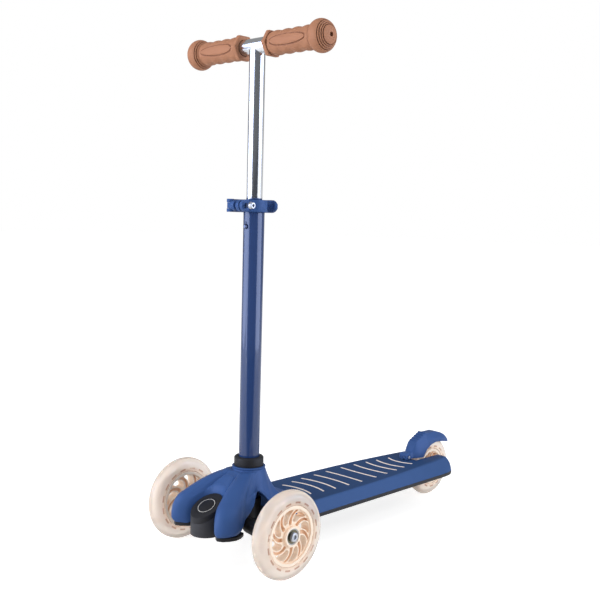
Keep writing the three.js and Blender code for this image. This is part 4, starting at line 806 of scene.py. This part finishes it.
def blue_plastic():
    finish = Finish("blue_satin_plastic")
    grain = finish.noise(scale=1500, detail=3, roughness=0.6)
    cloud = finish.noise(scale=18, detail=3)
    return finish.shade(
        {"Specular IOR Level": 0.2},
        {"Base Color": finish.mix(cloud, linear(50, 80, 134), linear(54, 85, 141)),
         "Roughness": 0.4 + 0.1 * grain, "Normal": finish.bump(grain, distance=0.00003, strength=0.3)})


blue = blue_plastic()
placed(cover("front_moulded_cover"), Matrix.Identity(4), "chassis", "blue_plastic", blue, "front_cover")

# Drum: a round black housing in the front of the cover, of a slightly greyer nylon, with a slanted
# cap let into its top. The cap holds a plain black disc with a thin pale ring near its edge.
disc_height, disc_rake = 0.083, math.radians(30)
ring_inner, ring_outer, ring_blur = 0.0119, 0.0127, 0.0002


def ringed_plastic():
    finish = Finish("ringed_black_plastic")
    disc_middle = Matrix.Rotation(-disc_rake, 3, "X") @ Vector((0, drum_y, disc_height))
    x, y, _ = finish.split(finish.moved(tuple(-disc_middle), rotation=(-disc_rake, 0, 0)))
    ring = finish.band(from_axis(x, y), ring_inner, ring_outer, ring_blur)
    grain = finish.noise(scale=1300, detail=3, roughness=0.6)
    return finish.shade(
        {"Specular IOR Level": 0.4},
        {"Base Color": finish.mix(ring, linear(24, 24, 27), linear(226, 224, 220)),
         "Roughness": 0.4 + 0.1 * grain})


drum_black = black_plastic("drum_black_plastic", linear(46, 46, 50), linear(58, 58, 62))
dressed("drum_housing", drum_black, edge=0.0004)
dressed("drum_cap", black, edge=0.0009, segments=3)
dressed("badge_disc", ringed_plastic(), edge=0.0002)


# Stem: the lower tube is steel in a deep blue gloss paint. It stands in a black collar, and a nylon
# sleeve in its top guides the bar. A sprung steel button near its top locks the bar's height.
def blue_paint():
    finish = Finish("blue_gloss_paint")
    peel = finish.noise(scale=420, detail=2)
    return finish.shade(
        {"Specular IOR Level": 0.1, "Coat Weight": 1.0, "Coat Roughness": 0.07, "Coat IOR": 1.55},
        {"Base Color": finish.mix(peel, linear(34, 57, 104), linear(38, 62, 111)),
         "Roughness": 0.26 + 0.06 * peel, "Normal": finish.bump(peel, distance=0.000004, strength=0.2)})


def button_steel_with_painted_shade():
    """The button's silver steel with painted shade: darkened to a blue-grey, with a soft cloudy stain."""
    finish = Finish("button_steel_painted_shade")
    stain = finish.noise(scale=300, detail=3)
    return finish.shade(
        {"Metallic": 1.0},
        {"Base Color": finish.mix(stain, linear(84, 94, 122), linear(120, 128, 150)),
         "Roughness": 0.34 + 0.1 * stain})


dressed("lower_tube", blue_paint())
dressed("tube_sleeve", black, edge=0)
dressed("stem_collar", black, edge=0.0004)
dressed("lock_button", button_steel_with_painted_shade(), edge=0.0002)

# Clamp: a split band of the same blue plastic round the top of the tube. A steel bolt through its two
# ears is pulled tight by a lever that bears on a cam nut and turns on a steel pin.
dressed("clamp_band", blue, edge=0.0006)
dressed("clamp_bolt", steel)
dressed("clamp_cam", blue, edge=0.0004)
dressed("clamp_lever", blue, edge=0.0005)
dressed("lever_pin", steel)


# Handlebar: a bright anodised aluminium tube that slides in the stem, with a cross tube of the same
# metal welded on its top. Very fine level lines run round the upright and along the cross tube.
def bright_aluminium():
    finish = Finish("polished_aluminium")
    lines = finish.noise(scale=2600, detail=3, roughness=0.6, place=finish.moved(scale=(0.03, 0.03, 1)))
    cloud = finish.noise(scale=30, detail=2)
    return finish.shade(
        {"Metallic": 1.0},
        {"Base Color": finish.mix(cloud, linear(214, 217, 222), linear(228, 230, 234)),
         "Roughness": 0.13 + 0.08 * lines, "Normal": finish.bump(lines, distance=0.00001, strength=0.25)})


dressed("t_bar", bright_aluminium(), edge=0.0002)

# Grips: soft brown rubber. A six-sided flange, a body with finger waves above and below and a long
# oval pad in front and behind, and a ball end with ring grooves and a small hole.
bar_height = 0.71
grip_inner, grip_lap, flange_width, flange_radius, flange_edge = 0.026, 0.001, 0.0065, 0.0194, 0.0013
body_radius, finger_bump, fingers, finger_side = 0.0152, 0.0013, 4, (0.5, 0.9)
ball_radius, ball_half, grip_end, hole_radius = 0.0218, 0.017, 0.1365, 0.003
bore_radius, bore_end, flange_sides = 0.0114, 0.1043, 6
pad_start, pad_length, pad_half, pad_power, pad_taper = 0.0385, 0.064, 0.0072, 0.42, (1.08, 0.2)
pad_rise, pad_edge, moat_depth, moat_place, moat_side = 0.0005, (0.88, 0.98), 0.001, 1.06, (0.0002, 0.0011)
end_grooves, back_grooves = (0.0128, 0.015, 0.0171, 0.019), (0.0178, 0.0196)
groove_depth, groove_side = 0.0012, (0.014, 0.036)
grip_columns, body_rows, ball_rows = 120, 120, 110


def brown_rubber():
    finish = Finish("brown_rubber")
    grain = finish.noise(scale=1600, detail=3, roughness=0.6)
    cloud = finish.noise(scale=50, detail=3)
    bright = finish.mix(cloud, linear(160, 108, 80), linear(174, 122, 92))
    return finish.shade(
        {"Specular IOR Level": 0.35},
        # Painted shade: a darker brown in the rubber's own hollows, its grooves, waves and hole.
        {"Base Color": finish.mix(finish.openness(distance=0.003) ** 2, linear(96, 58, 40), bright),
         "Roughness": 0.52 + 0.14 * grain, "Normal": finish.bump(grain, distance=0.00006, strength=0.4)})


def grip_radius(along, share, angle):
    """The body's radius: finger waves above and below, and a raised oval pad in front and behind."""
    wave = (1 - math.cos(2 * math.pi * fingers * share)) / 2
    radius = body_radius + finger_bump * wave * soft(abs(math.sin(angle)), *finger_side)
    place = (along - pad_start) / pad_length
    if 0 < place < 1:
        turn = math.atan2(math.sin(angle), abs(math.cos(angle)))
        half = pad_half * (4 * place * (1 - place)) ** pad_power * (pad_taper[0] - pad_taper[1] * place)
        across = abs(turn) * body_radius / half
        radius += pad_rise * (1 - soft(across, *pad_edge))
        radius -= moat_depth * (1 - soft(abs(across - moat_place) * half, *moat_side))
    return radius


def along_bar(sides, radius, length):
    """A cylinder that lies along the bar, centred on the flange."""
    bpy.ops.object.select_all(action="DESELECT")
    bpy.ops.mesh.primitive_cylinder_add(
        vertices=sides, radius=radius, depth=length, rotation=(0, math.pi / 2, 0),
        location=(grip_inner + flange_width / 2, 0, 0))
    bpy.ops.object.transform_apply(location=True, rotation=True, scale=True)
    return bpy.context.object


def grip(name):
    """Rings of radii along the body and the ball, back through the bore, and a flange joined on."""
    ball_centre = grip_end - ball_half
    first = math.acos(math.sqrt(1 - (body_radius / ball_radius) ** 2))
    last = math.pi - math.asin(hole_radius / ball_radius)
    body_start = grip_inner + flange_width
    body_end = ball_centre - ball_half * math.cos(first)
    angles = [2 * math.pi * j / grip_columns for j in range(grip_columns)]
    grooves = [math.pi - math.asin(radius / ball_radius) for radius in end_grooves]
    grooves += [math.asin(radius / ball_radius) for radius in back_grooves]
    rows = [(grip_inner + grip_lap, [body_radius] * grip_columns)]
    for i in range(body_rows + 1):
        share = i / body_rows
        along = body_start + (body_end - body_start) * share
        rows.append((along, [grip_radius(along, share, angle) for angle in angles]))
    for i in range(1, ball_rows + 1):
        turn = first + (last - first) * i / ball_rows
        dent = max(groove_depth * (1 - soft(abs(turn - groove), *groove_side)) for groove in grooves)
        along = ball_centre - (ball_half - dent) * math.cos(turn)
        rows.append((along, [(ball_radius - dent) * math.sin(turn)] * grip_columns))
    bore_rows = ((bore_end, hole_radius), (bore_end, bore_radius), (grip_inner + grip_lap, bore_radius))
    rows += [(along, [radius] * grip_columns) for along, radius in bore_rows]
    rings = [[(along, -radius * math.cos(angle), radius * math.sin(angle))
              for radius, angle in zip(radii, angles)] for along, radii in rows]
    piece = skin(name, rings, looped=True)
    edit(piece)
    close(angle=50)
    flange = along_bar(flange_sides, flange_radius, flange_width)
    rounded(flange, flange_edge)
    bar_room = along_bar(grip_columns, bore_radius, 3 * flange_width)
    apply(flange, "BOOLEAN", operation="DIFFERENCE", solver="EXACT", object=bar_room)
    apply(piece, "BOOLEAN", operation="UNION", solver="EXACT", object=flange)
    for tool in (bar_room, flange):
        bpy.data.objects.remove(tool)
    smooth(angle=45)
    return piece


brown = brown_rubber()
for side, turn in (("left", 0), ("right", math.pi)):
    grip_place = Matrix.Translation((0, stem_y, bar_height)) @ Matrix.Rotation(turn, 4, "Z")
    placed(grip(side + "_moulded_grip"), grip_place, "handlebar", "brown_rubber", brown, side + "_grip")

# Brake: a blue moulded fender over the rear wheel. Its two ears turn on a steel pin through a boss on
# the deck, with a small head on each end of the pin, and a coiled spring holds the fender up.
dressed("brake_fender", blue, edge=0.0007, angle=45)
dressed("brake_pin", steel)
head_radius, head_top_radius, head_sides = 0.0027, 0.0023, 40
head_rim, head_shoulder, head_height = 0.0003, 0.0007, 0.0009
head_profile = ((0, 0), (head_radius, 0), (head_radius, head_rim),
                (head_top_radius, head_shoulder), (0, head_height))
pin_low, pin_high = (Vector(corner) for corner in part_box("brake_pin"))
pin_middle = (pin_low + pin_high) / 2
for name, facing in (("left_pin_head", 1), ("right_pin_head", -1)):
    head = turned(name, head_profile, head_sides, closed=False)
    pin_end = Vector((pin_high.x if facing > 0 else pin_low.x, pin_middle.y, pin_middle.z))
    placed(head, wheel_axis(pin_end, facing), rides_on["brake_pin"], "zinc_steel", steel)
dressed("brake_spring", steel, edge=0, angle=80)
